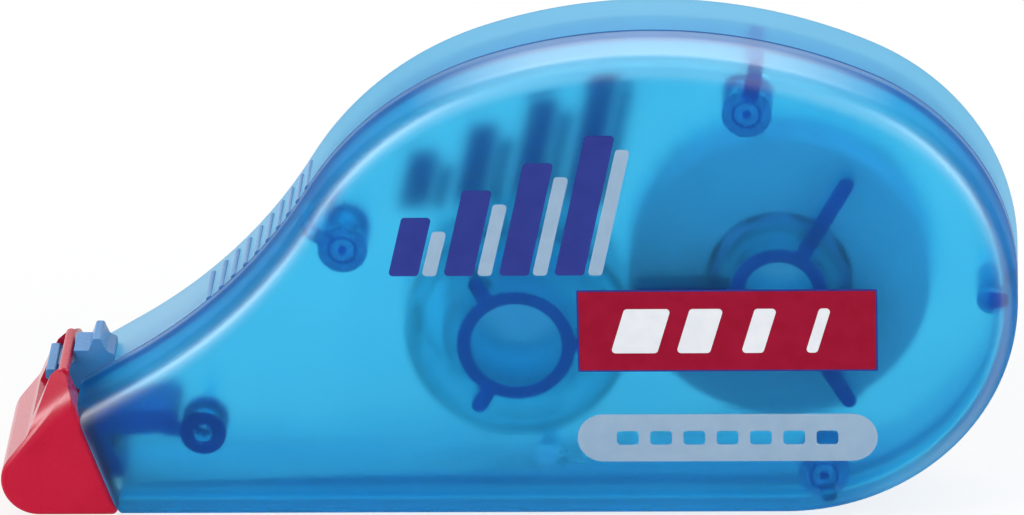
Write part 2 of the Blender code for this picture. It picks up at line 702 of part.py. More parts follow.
roll = turned([(ROLL_RADIUS, TAPE_HALF), (ROLL_RADIUS, -TAPE_HALF),
               (ROLL_BORE, -TAPE_HALF), (ROLL_BORE, TAPE_HALF)], 56)
piece("tape_roll", moved(roll, SUPPLY), TAPE, SUPPLY)

# Take-up side: gear with drum, web, hub and front flange, and the used film
REEL_BORE = TAKE_UP_SPINDLE + RUN
HUB = REEL_BORE + TAKE_UP_HUB_WALL
disc = plate([gear_outline(TAKE_UP_TEETH, SUPPLY_ANGLE),
              circle(REEL_BORE + TAKE_UP_HUB_WALL / 2, 32)], GEAR_BACK, -REEL_HALF)
take_up = piece("take_up_reel", moved(disc, TAKE_UP), GEAR, TAKE_UP)
drum = turned([(FLANGE_RADIUS, REEL_FRONT), (FLANGE_RADIUS, REEL_HALF),
               (DRUM_RADIUS, REEL_HALF), (DRUM_RADIUS, -REEL_HALF - BITE),
               (HUB, -REEL_HALF - BITE), (HUB, GEAR_BACK - RUN / 3),
               (REEL_BORE, GEAR_BACK - RUN / 3), (REEL_BORE, REEL_FRONT),
               (HUB, REEL_FRONT), (HUB, -REEL_HALF + WEB),
               (DRUM_RADIUS - DRUM_WALL, -REEL_HALF + WEB),
               (DRUM_RADIUS - DRUM_WALL, REEL_FRONT)], 48)
work_on(take_up, "UNION", "drum", drum, TAKE_UP)

wound = turned([(FILM_RADIUS, TAPE_HALF), (FILM_RADIUS, -TAPE_HALF),
                (FILM_BORE, -TAPE_HALF), (FILM_BORE, TAPE_HALF)], 56)
piece("film_winding", moved(wound, TAKE_UP), FILM, TAKE_UP)

# Tape and film runs, each lying on its roll for a short way
LEAD = 20


def ribbon(name, points, look):
    """Strip of tape along a path, as wide as the tape."""
    curve = bpy.data.curves.new(name, "CURVE")
    curve.dimensions = "3D"
    curve.extrude = TAPE_HALF
    path = fresh(points)
    spline = curve.splines.new("POLY")
    spline.points.add(len(path) - 1)
    for target, point in zip(spline.points, path):
        target.co = (point.x, point.y, 0, 1)
    obj = bpy.data.objects.new(name, curve)
    parts.objects.link(obj)
    strip = piece(name, mesh_from(obj), look)
    solid = strip.modifiers.new("thickness", "SOLIDIFY")
    solid.thickness = TAPE_THICKNESS
    solid.offset = 0
    solid.use_even_offset = True


feed = wrap(ROUTE[0], HEADINGS[0] + LEAD, HEADINGS[0], 5)
feed += wrap(ROUTE[1], HEADINGS[0], HEADINGS[1], 5)
feed += wrap(ROUTE[2], HEADINGS[1], HEADINGS[2], 15)
ribbon("feed_tape", feed, TAPE)

leave = wrap(ROUTE[2], HEADINGS[1], HEADINGS[2], 15)[-1]
film = [leave + polar(SEAT, HEADINGS[2])]
film += wrap(ROUTE[3], HEADINGS[2], HEADINGS[3], 5)
film += wrap(ROUTE[4], HEADINGS[3], HEADINGS[3] + LEAD, 5)
ribbon("return_film", film, FILM)
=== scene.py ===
import json
import math

import bmesh
import bpy
from mathutils import Matrix, Vector

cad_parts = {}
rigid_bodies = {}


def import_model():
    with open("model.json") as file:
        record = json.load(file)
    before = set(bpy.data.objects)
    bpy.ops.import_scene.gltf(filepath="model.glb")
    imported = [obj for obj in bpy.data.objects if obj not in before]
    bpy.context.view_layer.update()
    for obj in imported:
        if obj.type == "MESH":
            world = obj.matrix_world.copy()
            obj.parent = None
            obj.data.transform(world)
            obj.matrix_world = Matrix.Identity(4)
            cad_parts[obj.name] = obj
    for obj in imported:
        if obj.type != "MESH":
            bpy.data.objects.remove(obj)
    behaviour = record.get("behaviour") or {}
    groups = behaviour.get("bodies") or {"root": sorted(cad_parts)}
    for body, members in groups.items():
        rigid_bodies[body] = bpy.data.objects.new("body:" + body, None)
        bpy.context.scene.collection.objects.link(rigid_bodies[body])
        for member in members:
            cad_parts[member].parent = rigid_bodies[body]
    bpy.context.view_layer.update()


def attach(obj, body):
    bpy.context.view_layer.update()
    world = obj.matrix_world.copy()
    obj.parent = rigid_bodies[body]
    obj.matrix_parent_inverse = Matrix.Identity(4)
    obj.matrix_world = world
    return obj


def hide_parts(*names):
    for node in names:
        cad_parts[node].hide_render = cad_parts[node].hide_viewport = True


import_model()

# Back shell: the deeper half of the case, moulded in one shot from clear blue
# styrene with a fine frost. The pins, thrust rings, tape guide, grip ribs and
# hinge lug are part of the moulding, and the front shell presses onto its pins.
MM = 0.001
LENGTH = 80.0 * MM
HALF = 6.25 * MM
WALL = 1.2 * MM
INNER = HALF - WALL
SPLIT = 0.55 * MM
PARTING = 0.01 * MM
EDGE_BREAK = 0.12 * MM
HEEL_RADIUS = 18.27 * MM
BACK_RADIUS = 19.36 * MM
CROWN_RADIUS = 40.68 * MM
SHOULDER_RADIUS = 25.9 * MM
NECK_RADIUS = 41.82 * MM
BACK_END = 65.0
CROWN_END = 109.0
NECK_SLOPE = 31.1
BACK_ROUNDING = 0.6 * MM
INNER_ROUNDING = 0.9 * MM
RUN = 0.3 * MM
SEAT = 0.25 * MM
BITE = 0.4 * MM
WELD = 0.0005 * MM
STAND = Matrix.Rotation(math.pi / 2, 4, "X")


def polar(radius, degrees):
    angle = math.radians(degrees)
    return Vector((radius * math.cos(angle), radius * math.sin(angle)))


def arc(centre, radius, start, end, steps):
    """Points of an arc of the front view, both ends included."""
    span = (end - start) / steps
    return [centre + polar(radius, start + span * i) for i in range(steps + 1)]


HINGE_INSET = 5.15 * MM
NECK_SEAT = Vector((-LENGTH / 2 + HINGE_INSET, 9.1 * MM))
HINGE = NECK_SEAT + Vector((0, 2.7 * MM))
MOUTH = polar(1, -71.5)
MOUTH_OUT = Vector((MOUTH.y, -MOUTH.x))
MOUTH_EDGE = HINGE - MOUTH_OUT * 0.35 * MM
HEEL = Vector((LENGTH / 2 - HEEL_RADIUS, HEEL_RADIUS))
BACK = HEEL + polar(HEEL_RADIUS - BACK_RADIUS, 0)
CROWN = BACK + polar(BACK_RADIUS - CROWN_RADIUS, BACK_END)
SHOULDER = CROWN + polar(CROWN_RADIUS - SHOULDER_RADIUS, CROWN_END)


def neck_arc():
    """Centre of the arc that joins the shoulder to the neck's slope."""
    along = polar(1, NECK_SLOPE)
    start = NECK_SEAT + polar(NECK_RADIUS, NECK_SLOPE + 90) - SHOULDER
    reach = SHOULDER_RADIUS + NECK_RADIUS
    middle = start.dot(along)
    back = math.sqrt(middle ** 2 - start.length_squared + reach ** 2)
    return SHOULDER + start - along * (middle + back)


NECK = neck_arc()
SHOULDER_END = math.degrees(math.atan2(NECK.y - SHOULDER.y, NECK.x - SHOULDER.x))
NECK_START = SHOULDER_END + 180
NECK_END = NECK_SLOPE + 270


def mouth_point(point, along):
    """Where a straight line of the front view meets the mouth."""
    gap = MOUTH_EDGE - point
    across = along.x * MOUTH.y - along.y * MOUTH.x
    return point + along * ((gap.x * MOUTH.y - gap.y * MOUTH.x) / across)


def case_outline(inset):
    """Outline of the case moved inwards, from the foot of the mouth to its top."""
    points = [mouth_point(Vector((0, inset)), Vector((1, 0)))]
    points += arc(HEEL, HEEL_RADIUS - inset, -90, 0, 40)
    points += arc(BACK, BACK_RADIUS - inset, 0, BACK_END, 28)[1:]
    points += arc(CROWN, CROWN_RADIUS - inset, BACK_END, CROWN_END, 34)[1:]
    points += arc(SHOULDER, SHOULDER_RADIUS - inset, CROWN_END, SHOULDER_END, 22)[1:]
    points += arc(NECK, NECK_RADIUS + inset, NECK_START, NECK_END, 22)[1:]
    points.append(mouth_point(points[-1], polar(1, NECK_SLOPE)))
    return points


def weld(work):
    bmesh.ops.remove_doubles(work, verts=work.verts, dist=WELD)
    bmesh.ops.dissolve_degenerate(work, edges=work.edges, dist=WELD)


def mesh_of(work, name):
    """Plain mesh of a finished bmesh, welded and facing outwards."""
    weld(work)
    bmesh.ops.recalc_face_normals(work, faces=work.faces)
    mesh = bpy.data.meshes.new(name)
    work.to_mesh(mesh)
    work.free()
    return mesh


def skinned(rows, name):
    """Closed mesh through rows of points, each row a ring, with its two ends filled."""
    work = bmesh.new()
    rings = [[work.verts.new(point) for point in row] for row in rows]
    for low, high in zip(rings, rings[1:]):
        for i in range(len(low)):
            work.faces.new((low[i - 1], low[i], high[i], high[i - 1]))
    work.faces.new(rings[0])
    work.faces.new(rings[-1])
    return mesh_of(work, name)


def leaned(inset, drop):
    """Outline of the case with its upper part lowered, as the mould's draft needs."""
    return [p - Vector((0, drop * min(1, p.y / HEEL_RADIUS))) for p in case_outline(inset)]


OUTSIDE, INSIDE, RIM_FACE, PARTING_LINE = 0, 1, 3, 5


def shell_wall(face, rim, rounding, draft, steps):
    """Closed wall of one half of the case, open at its rim and at the mouth.

    face and rim are the heights of its flat side and of its parting edge, and its
    looks are places in SHELL_LOOKS."""
    towards = math.copysign(1, face - rim)
    outside = [(EDGE_BREAK, 0, rim), (0, 0, rim + towards * EDGE_BREAK)]
    inside = [(WALL, 0, rim), (WALL, 0, rim + towards * EDGE_BREAK)]
    for k in range(steps + 1):
        angle = math.pi / 2 * k / steps
        side, rise = 1 - math.cos(angle), 1 - math.sin(angle)
        outside.append((rounding * side, draft, face - towards * rounding * rise))
        inside.append((WALL + INNER_ROUNDING * side, draft,
                       face - towards * (WALL + INNER_ROUNDING * rise)))
    work = bmesh.new()
    skins = []
    for profile in (outside, inside):
        rows = [[work.verts.new((p.x, p.y, height)) for p in leaned(inset, drop)]
                for inset, drop, height in profile]
        look = OUTSIDE if profile is outside else INSIDE
        for low, high in zip(rows, rows[1:]):
            for i in range(len(low) - 1):
                skin = work.faces.new((low[i], low[i + 1], high[i + 1], high[i]))
                line = profile is outside and low is rows[0]
                skin.material_index = PARTING_LINE if line else look
        work.faces.new(rows[-1]).material_index = look
        skins.append(rows)
    outer, inner = skins
    for i in range(len(outer[0]) - 1):
        edge = work.faces.new((outer[0][i], outer[0][i + 1], inner[0][i + 1], inner[0][i]))
        edge.material_index = RIM_FACE
    for end in (0, -1):
        for k in range(len(outer) - 1):
            work.faces.new((outer[k][end], outer[k + 1][end],
                            inner[k + 1][end], inner[k][end]))
    work.faces.new((outer[-1][0], outer[-1][-1], inner[-1][-1], inner[-1][0]))
    return mesh_of(work, "wall")


def turned(centre, profile, steps=64):
    """Closed round solid about an axis across the case, from (radius, height)."""
    work = bmesh.new()
    rings = []
    for radius, height in profile:
        rings.append([work.verts.new((centre.x + p.x, centre.y + p.y, height))
                      for p in arc(Vector((0, 0)), radius, 0, 360, steps)[:-1]])
    for k, (radius, height) in enumerate(profile):
        if radius == 0 and profile[k - 1][0] == 0:
            continue
        low, high = rings[k - 1], rings[k]
        for i in range(steps):
            work.faces.new((low[i - 1], low[i], high[i], high[i - 1]))
    return mesh_of(work, "turned")


def rod(centre, radius, low, high, soft=0.08 * MM, steps=40):
    """Round rod with softened ends."""
    return turned(centre, [(0, low), (radius - soft, low), (radius, low + soft),
                           (radius, high - soft), (radius - soft, high), (0, high)],
                  steps)


def prism(outline, low, high):
    """Closed block with an outline of the front view."""
    return skinned([[(p.x, p.y, height) for p in outline] for height in (low, high)], "prism")


def tangent(first, second):
    """Heading of a belt's straight run between two round stops.

    A stop is (centre, radius, sense), with sense 1 counter-clockwise."""
    across = second[0] - first[0]
    shift = first[1] * first[2] - second[1] * second[2]
    lean = math.asin(shift / across.length)
    return math.degrees(math.atan2(across.y, across.x) + lean)


def wrap(stop, enter, leave, spacing):
    """Points round a stop between two headings."""
    start = enter - 90 * stop[2]
    turn = (leave - enter) * stop[2] % 360
    if turn > 359.9:
        turn = 0
    steps = max(1, math.ceil(turn / spacing))
    return arc(stop[0], stop[1], start, start + turn * stop[2], steps)


def loop(stops, spacing=8):
    """Closed outline drawn tightly round a ring of stops."""
    count = len(stops)
    headings = [tangent(stops[i], stops[(i + 1) % count]) for i in range(count)]
    points = []
    for i, stop in enumerate(stops):
        points += wrap(stop, headings[i - 1], headings[i], spacing)
    return points


def rib(start, end, width, low, high):
    """Straight rib with round ends."""
    return prism(loop([(start, width / 2, 1), (end, width / 2, 1)], 15), low, high)


def plain_mesh(obj):
    """Mesh of an object with its modifiers worked in, the object then removed."""
    bpy.context.view_layer.update()
    graph = bpy.context.evaluated_depsgraph_get()
    mesh = bpy.data.meshes.new_from_object(obj.evaluated_get(graph))
    bpy.data.objects.remove(obj)
    return mesh


def moulded(body, adds, cuts, looks):
    """One mesh of a body with features melted on and holes cut out of it.

    looks are the finishes of the body and of its features."""
    if not body.materials:
        for look in looks:
            body.materials.append(look)
    obj = bpy.data.objects.new("body", body)
    bpy.context.scene.collection.objects.link(obj)
    groups = []
    for operation, meshes in (("UNION", adds), ("DIFFERENCE", cuts)):
        if not meshes:
            continue
        group = bpy.data.collections.new(operation)
        bpy.context.scene.collection.children.link(group)
        for mesh in meshes:
            if not mesh.materials:
                mesh.materials.append(looks[-1] if meshes is adds else looks[0])
            group.objects.link(bpy.data.objects.new("tool", mesh))
        step = obj.modifiers.new(operation, "BOOLEAN")
        step.operation = operation
        step.operand_type = "COLLECTION"
        step.collection = group
        step.solver = "EXACT"
        step.material_mode = "TRANSFER"
        groups.append(group)
    mesh = plain_mesh(obj)
    for group in groups:
        for tool in list(group.objects):
            bpy.data.objects.remove(tool)
        bpy.data.collections.remove(group)
    return mesh


def piece(name, meshes, looks, body, solid, sharp=32):
    """A finished piece that stands for a CAD node and rides on its body."""
    work = bmesh.new()
    for mesh in meshes:
        work.from_mesh(mesh)
    weld(work)
    mesh = bpy.data.meshes.new(name)
    work.to_mesh(mesh)
    work.free()
    mesh.transform(STAND)
    mesh.shade_smooth()
    mesh.set_sharp_from_angle(angle=math.radians(sharp))
    draft = bpy.data.objects.new("draft", mesh)
    bpy.context.scene.collection.objects.link(draft)
    weight = draft.modifiers.new("flat_faces", "WEIGHTED_NORMAL")
    weight.keep_sharp = True
    made = plain_mesh(draft)
    made.name = name
    for look in looks:
        made.materials.append(look)
    obj = bpy.data.objects.new(name, made)
    bpy.context.scene.collection.objects.link(obj)
    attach(obj, body)
    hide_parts(solid)
    return obj


def shader_of(name):
    """A new material, its node tree and its main shader."""
    made = bpy.data.materials.new(name)
    made.use_nodes = True
    return made, made.node_tree, made.node_tree.nodes["Principled BSDF"]


def feed(tree, made, feeds):
    """Each named input of a node linked or set."""
    for label, value in feeds.items():
        if isinstance(value, bpy.types.NodeSocket):
            tree.links.new(value, made.inputs[label])
        else:
            made.inputs[label].default_value = value


def node(tree, kind, feeds, **settings):
    """A shader node with its settings and its inputs."""
    made = tree.nodes.new("ShaderNode" + kind)
    for label, value in settings.items():
        setattr(made, label, value)
    feed(tree, made, feeds)
    return made


def grain(tree, shader, size, depth, roughness):
    """Fine moulded grain, in mm: bump and a roughness between two values."""
    place = node(tree, "TexCoord", {}).outputs["Object"]
    noise = node(tree, "TexNoise", {"Vector": place, "Scale": 1 / (size * MM), "Detail": 3.0})
    height = noise.outputs["Fac"]
    bump = node(tree, "Bump", {"Height": height, "Strength": 1.0, "Distance": depth * MM})
    spread = node(tree, "MapRange", {"Value": height, "From Min": 0.3, "From Max": 0.7,
                                     "To Min": roughness[0], "To Max": roughness[1]})
    feed(tree, shader, {"Normal": bump.outputs["Normal"],
                        "Roughness": spread.outputs["Result"]})
    return place


def mottle(tree, place, size, tones):
    """Colour that drifts slowly between two close tones, over a size in mm."""
    drift = node(tree, "TexNoise", {"Vector": place, "Scale": 1 / (size * MM), "Detail": 2.0})
    ramp = node(tree, "ValToRGB", {"Fac": drift.outputs["Fac"]})
    for stop, share, tone in zip(ramp.color_ramp.elements, (0.35, 0.65), tones):
        stop.position = share
        stop.color = (*tone, 1)
    return ramp.outputs["Color"]


def plastic(name, size, depth, roughness, drift, tones, clear=0.0, bend=1.5):
    """Moulded plastic: its grain, its drift of tone, how clear it is and how it bends light."""
    made, tree, shader = shader_of(name)
    place = grain(tree, shader, size, depth, roughness)
    feed(tree, shader, {"Base Color": mottle(tree, place, drift, tones),
                        "Transmission Weight": clear, "IOR": bend})
    return made


def depth_ramp(tree, place, stops):
    """Tones across the case's thickness, at distances in mm from its front face."""
    split = node(tree, "SeparateXYZ", {"Vector": place})
    depth = node(tree, "MapRange", {"Value": split.outputs["Y"], "From Min": -HALF,
                                    "From Max": HALF})
    tones = node(tree, "ValToRGB", {"Fac": depth.outputs["Result"]})
    ramp = tones.color_ramp.elements
    ramp.remove(ramp[1])
    for k, (distance, colour) in enumerate(stops):
        stop = ramp.new(distance * MM / (2 * HALF)) if k else ramp[0]
        stop.color = (*colour, 1)
    return tones.outputs["Color"]


def mixed(tree, kind, share, first, second):
    """Two colours mixed by a share."""
    mix = node(tree, "Mix", {"Factor": share, "A": first, "B": second},
               data_type="RGBA", blend_type=kind)
    return mix.outputs["Result"]


def largest(tree, values):
    most = values[0]
    for value in values[1:]:
        most = node(tree, "Math", {0: most, 1: value}, operation="MAXIMUM").outputs["Value"]
    return most


def case_skin():
    """Outside of the case: frosted all over, deeper in tone along the walls, paler by
    the parting edge, and polished on the rounded edge, the crown and the grip. On the
    crown the colour is also mixed towards the pale face tone, a painted highlight,
    and towards the bottom it is multiplied darker, a painted shade."""
    made, tree, shader = shader_of("frosted_blue")
    place = grain(tree, shader, 0.14, 0.008, (0.54, 0.62))
    tree.links.new(shader.inputs["Normal"].links[0].from_socket, shader.inputs["Coat Normal"])
    face, wall, back = (0.235, 0.73, 0.925), (0.04, 0.41, 0.75), (0.09, 0.38, 0.68)
    pale = (0.30, 0.78, 0.96)
    tones = depth_ramp(tree, place, [
        (0, face), (0.15, face), (0.6, (0.15, 0.64, 0.88)), (1.4, (0.045, 0.60, 0.91)),
        (2.1, (0.03, 0.58, 0.91)), (3.4, (0.03, 0.56, 0.89)), (4.4, wall), (4.85, wall),
        (5.1, pale), (5.6, pale), (5.75, back), (11.9, back), (12.4, face)])
    drift = mottle(tree, place, 9, ((0.94, 0.96, 0.98), (1.0, 1.0, 1.0)))
    tint = mixed(tree, "MULTIPLY", 1.0, tones, drift)
    matt, low, half, most, full = [(v, v, v) for v in (0, 0.05, 0.26, 0.6, 1)]
    edge = [(0, matt), (0.02, matt), (0.25, full), (0.45, full), (0.95, low), (4.85, low),
            (5.1, most), (5.6, most), (5.75, half), (11.9, half), (12.44, matt)]
    crown = [(0, matt), (0.02, matt), (0.28, full), (4.3, full), (4.7, most), (5.6, most),
             (5.7, matt)]
    grip = [(0, matt), (5.0, matt), (5.25, full), (11.9, full), (12.44, matt)]
    split = node(tree, "SeparateXYZ", {"Vector": place}).outputs
    gloss_and_highlight = []
    for stops, axis, start, end in ((edge, "Z", 1, 6), (crown, "Z", 34.5, 38.5),
                                    (grip, "X", -8, -26)):
        climb = node(tree, "MapRange", {"Value": split[axis], "From Min": start * MM,
                                        "From Max": end * MM})
        share = node(tree, "Math", {0: depth_ramp(tree, place, stops),
                                    1: climb.outputs["Result"]}, operation="MULTIPLY")
        gloss_and_highlight.append(share.outputs["Value"])
    # Painted highlight: the crown's colour is mixed towards the pale face tone.
    light = mixed(tree, "MIX", gloss_and_highlight[1], tint, (*face, 1))
    # Painted shade: the colour is multiplied darker over the bottom 2.8 mm of the case.
    sink = node(tree, "MapRange", {"Value": split["Z"], "From Min": 0.3 * MM,
                                   "From Max": 2.8 * MM, "To Min": 1, "To Max": 0})
    bottom_shaded = mixed(tree, "MULTIPLY", sink.outputs["Result"], light, (0.3, 0.68, 0.88, 1))
    feed(tree, shader, {"Base Color": bottom_shaded, "Transmission Weight": 0.985, "IOR": 1.13,
                        "Coat Weight": largest(tree, gloss_and_highlight), "Coat Roughness": 0.37,
                        "Coat IOR": 1.8})
    return made


FROSTED_BLUE = case_skin()
SMOOTH_BLUE = plastic("smooth_blue", 0.3, 0.001, (0.16, 0.24), 9,
                      ((0.20, 0.69, 0.90), (0.23, 0.72, 0.92)), 0.97, 1.13)
THICK_BLUE = plastic("thick_blue", 0.2, 0.002, (0.3, 0.4), 9,
                     ((0.032, 0.050, 0.42), (0.036, 0.056, 0.45)), 0.8, 1.3)
RIM_BLUE = plastic("rim_blue", 0.2, 0.001, (0.24, 0.32), 9,
                   ((0.10, 0.33, 0.65), (0.13, 0.37, 0.69)), 0.6, 1.45)
LUG_BLUE = plastic("lug_blue", 0.2, 0.001, (0.2, 0.28), 9,
                   ((0.045, 0.23, 0.53), (0.065, 0.27, 0.58)), 0.0, 1.45)
LINE_BLUE = plastic("line_blue", 0.2, 0.001, (0.3, 0.4), 9,
                    ((0.028, 0.15, 0.42), (0.034, 0.17, 0.46)), 0.0, 1.3)
SHELL_LOOKS = [FROSTED_BLUE, SMOOTH_BLUE, THICK_BLUE, RIM_BLUE, LUG_BLUE, LINE_BLUE]


def feature(mesh, side, front, back):
    """A moulded feature with its own looks on its sides and its two ends."""
    for look in SHELL_LOOKS:
        mesh.materials.append(look)
    for face in mesh.polygons:
        end = front if face.normal.z > 0 else back
        look = end if abs(face.normal.z) > 0.9 else side
        face.material_index = SHELL_LOOKS.index(look)
    return mesh


# Places that the moulded features share with the reels and the head
TAPE_HALF = 2.1 * MM
REEL_HALF = TAPE_HALF + RUN
GEAR_FACE = 1.8 * MM
GEAR_BACK = -REEL_HALF - GEAR_FACE
SIDE_PLATE = 0.5 * MM
HEAD_HALF = REEL_HALF + SIDE_PLATE
ROLL_RADIUS = 11.8 * MM
DRUM_RADIUS = 8.3 * MM
FLANGE_RADIUS = DRUM_RADIUS + 0.6 * MM
CENTRES = ROLL_RADIUS + FLANGE_RADIUS + RUN
SUPPLY_ANGLE = 12.0
SUPPLY = HEEL + Vector((-0.29 * MM, 0.95 * MM))
TAKE_UP = SUPPLY - polar(CENTRES, SUPPLY_ANGLE)
GUIDE_RADIUS = 0.9 * MM
GUIDE = TAKE_UP + Vector((2.1 * MM, -FLANGE_RADIUS - 1.15 * MM - GUIDE_RADIUS))
TIP = Vector((-LENGTH / 2 + 3.1 * MM, 2.0 * MM))
EYELET = Vector((TIP.x + 13.0 * MM, 7.3 * MM))
EYELET_POST = 0.5 * MM
RIB = 1.25 * MM
TIE_INSET = 0.8 * MM
TIE_GAP = 0.14 * MM
TIE_CLEAR = WALL + TIE_GAP
PIN_RADIUS = 0.65 * MM
PIN_LENGTH = 2.6 * MM
BACK_EDGE = SPLIT - PARTING
FRONT_EDGE = SPLIT + PARTING
FLOOR = -INNER - BITE
SPINDLE_END = GEAR_BACK
STUB = 1.6 * MM
SPINDLES = [(SUPPLY, 3.87 * MM, 2.7 * MM, 11.3 * MM, 60),
            (TAKE_UP, 4.66 * MM, 3.58 * MM, 6.6 * MM, 0)]


def post(centre, radius, inset, angle, outline_radius):
    """A post's place, its radius, and the foot of its tie on the wall."""
    foot_inset = math.copysign(TIE_INSET + RIB / 2, inset)
    return (centre + polar(outline_radius - inset, angle), radius,
            centre + polar(outline_radius - foot_inset, angle))


POSTS = [post(CROWN, 1.95 * MM, 4.3 * MM, 78.0, CROWN_RADIUS),
         post(NECK, 1.95 * MM, -4.2 * MM, NECK_START - 1.6, NECK_RADIUS),
         post(HEEL, 1.95 * MM, 3.1 * MM, 281.6, HEEL_RADIUS),
         post(BACK, 1.2 * MM, 2.0 * MM, 1.0, BACK_RADIUS)]

features = []
ties = []
for centre, radius, foot in POSTS:
    features.append(rod(centre, radius, FLOOR, BACK_EDGE - SEAT))
    short = foot + (centre - foot).normalized() * (TIE_CLEAR - TIE_INSET)
    ties.append(rib(centre, short, RIB, FLOOR, BACK_EDGE - SEAT - BITE))
    features.append(rod(centre, PIN_RADIUS, FLOOR, FRONT_EDGE + PIN_LENGTH, steps=24))
for centre, outer, bore, reach, turn in SPINDLES:
    features.append(rod(centre, outer + RUN + WALL, FLOOR, GEAR_BACK - RUN, steps=64))
    features.append(rod(centre, bore - SEAT, FLOOR + BITE / 2, SPINDLE_END + STUB))
features.append(rod(GUIDE, GUIDE_RADIUS, FLOOR, REEL_HALF))
features.append(rod(EYELET, EYELET_POST, FLOOR, HEAD_HALF + SEAT, steps=24))
features = [feature(mesh, SMOOTH_BLUE, RIM_BLUE, RIM_BLUE) for mesh in features]
features += [feature(mesh, THICK_BLUE, RIM_BLUE, RIM_BLUE) for mesh in ties]

# Grip ribs: ten soft ridges across the rim of the back shell, copied along the
# neck's curve and melted into the wall
GRIP_WIDTH = 0.5 * MM
GRIP_RISE = 0.14 * MM
GRIP_SPAN = 17.2
GRIP_COUNT = 10
GRIP_FOOT = 2.0 * MM


def arc_copies():
    """Geometry Nodes: one object copied along an arc, each turned outwards."""
    tree = bpy.data.node_groups.new("arc_copies", "GeometryNodeTree")
    for label, kind in (("Copy", "Object"), ("Count", "Int"), ("Radius", "Float"),
                        ("Start", "Float"), ("Sweep", "Float"), ("Centre", "Vector"),
                        ("Material", "Material")):
        tree.interface.new_socket(label, in_out="INPUT", socket_type="NodeSocket" + kind)
    tree.interface.new_socket("Geometry", in_out="OUTPUT",
                              socket_type="NodeSocketGeometry")
    add, link = tree.nodes.new, tree.links.new
    sizes, result = add("NodeGroupInput"), add("NodeGroupOutput")
    path = add("GeometryNodeCurveArc")
    for label, socket in (("Count", "Resolution"), ("Radius", "Radius"),
                          ("Start", "Start Angle"), ("Sweep", "Sweep Angle")):
        link(sizes.outputs[label], path.inputs[socket])
    part = add("GeometryNodeObjectInfo")
    link(sizes.outputs["Copy"], part.inputs["Object"])
    turn = add("FunctionNodeAlignRotationToVector")
    turn.axis = "X"
    turn.pivot_axis = "Z"
    link(add("GeometryNodeInputPosition").outputs["Position"], turn.inputs["Vector"])
    copies = add("GeometryNodeInstanceOnPoints")
    link(path.outputs["Curve"], copies.inputs["Points"])
    link(part.outputs["Geometry"], copies.inputs["Instance"])
    link(turn.outputs["Rotation"], copies.inputs["Rotation"])
    shift = add("GeometryNodeTransform")
    link(copies.outputs["Instances"], shift.inputs["Geometry"])
    link(sizes.outputs["Centre"], shift.inputs["Translation"])
    real = add("GeometryNodeRealizeInstances")
    link(shift.outputs["Geometry"], real.inputs["Geometry"])
    finish = add("GeometryNodeSetMaterial")
    link(real.outputs["Geometry"], finish.inputs["Geometry"])
    link(sizes.outputs["Material"], finish.inputs["Material"])
    link(finish.outputs["Geometry"], result.inputs["Geometry"])
    return tree


ARC_COPIES = arc_copies()


def copied(mesh, count, radius, start, sweep, centre, look):
    """Plain mesh of copies along an arc, given in degrees."""
    part = bpy.data.objects.new("copy", mesh)
    host = bpy.data.objects.new("copies", bpy.data.meshes.new("copies"))
    bpy.context.scene.collection.objects.link(host)
    step = host.modifiers.new("copies", "NODES")
    step.node_group = ARC_COPIES
    values = {"Copy": part, "Count": count, "Radius": radius,
              "Start": math.radians(start), "Sweep": math.radians(sweep),
              "Centre": (centre.x, centre.y, 0), "Material": look}
    for socket in ARC_COPIES.interface.items_tree:
        if socket.in_out == "INPUT":
            step[socket.identifier] = values[socket.name]
    made = plain_mesh(host)
    bpy.data.objects.remove(part)
    return made


def ridge_outline():
    """Cross-section of a grip rib, pointing along -X."""
    soft = GRIP_WIDTH / 3
    top, side = soft - GRIP_RISE, GRIP_WIDTH / 2 - soft
    corners = ((top, -side), (WALL / 2, -side), (WALL / 2, side), (top, side))
    return loop([(Vector(corner), soft, 1) for corner in corners], 15)


ridge = prism(ridge_outline(), GRIP_FOOT - HALF, BACK_EDGE - EDGE_BREAK)
features.append(copied(ridge, GRIP_COUNT, NECK_RADIUS, NECK_START - 0.2 - GRIP_SPAN,
                       GRIP_SPAN, NECK, LUG_BLUE))

# Hinge lug: a tongue and a ridged thumb pad on the neck, of the shell's own
# plastic, with a groove between them that the cap's bar snaps into
BAR_RADIUS = 0.45 * MM
GROOVE = BAR_RADIUS + RUN
LUG_LENGTH = 3.75 * MM
LUG_RISE = 1.45 * MM
TONGUE = 0.85 * MM
TONGUE_FRONT = 1.8 * MM
LUG_SOFT = 0.3 * MM
RIDGE_SOFT = 0.22 * MM
BACK_DRAFT = 0.12 * MM


def box_outline(middle, width, height, radius):
    """Rectangle with round corners."""
    x, y = width / 2 - radius, height / 2 - radius
    corners = ((-x, -y), (x, -y), (x, y), (-x, y))
    return loop([(middle + Vector(corner), radius, 1) for corner in corners])


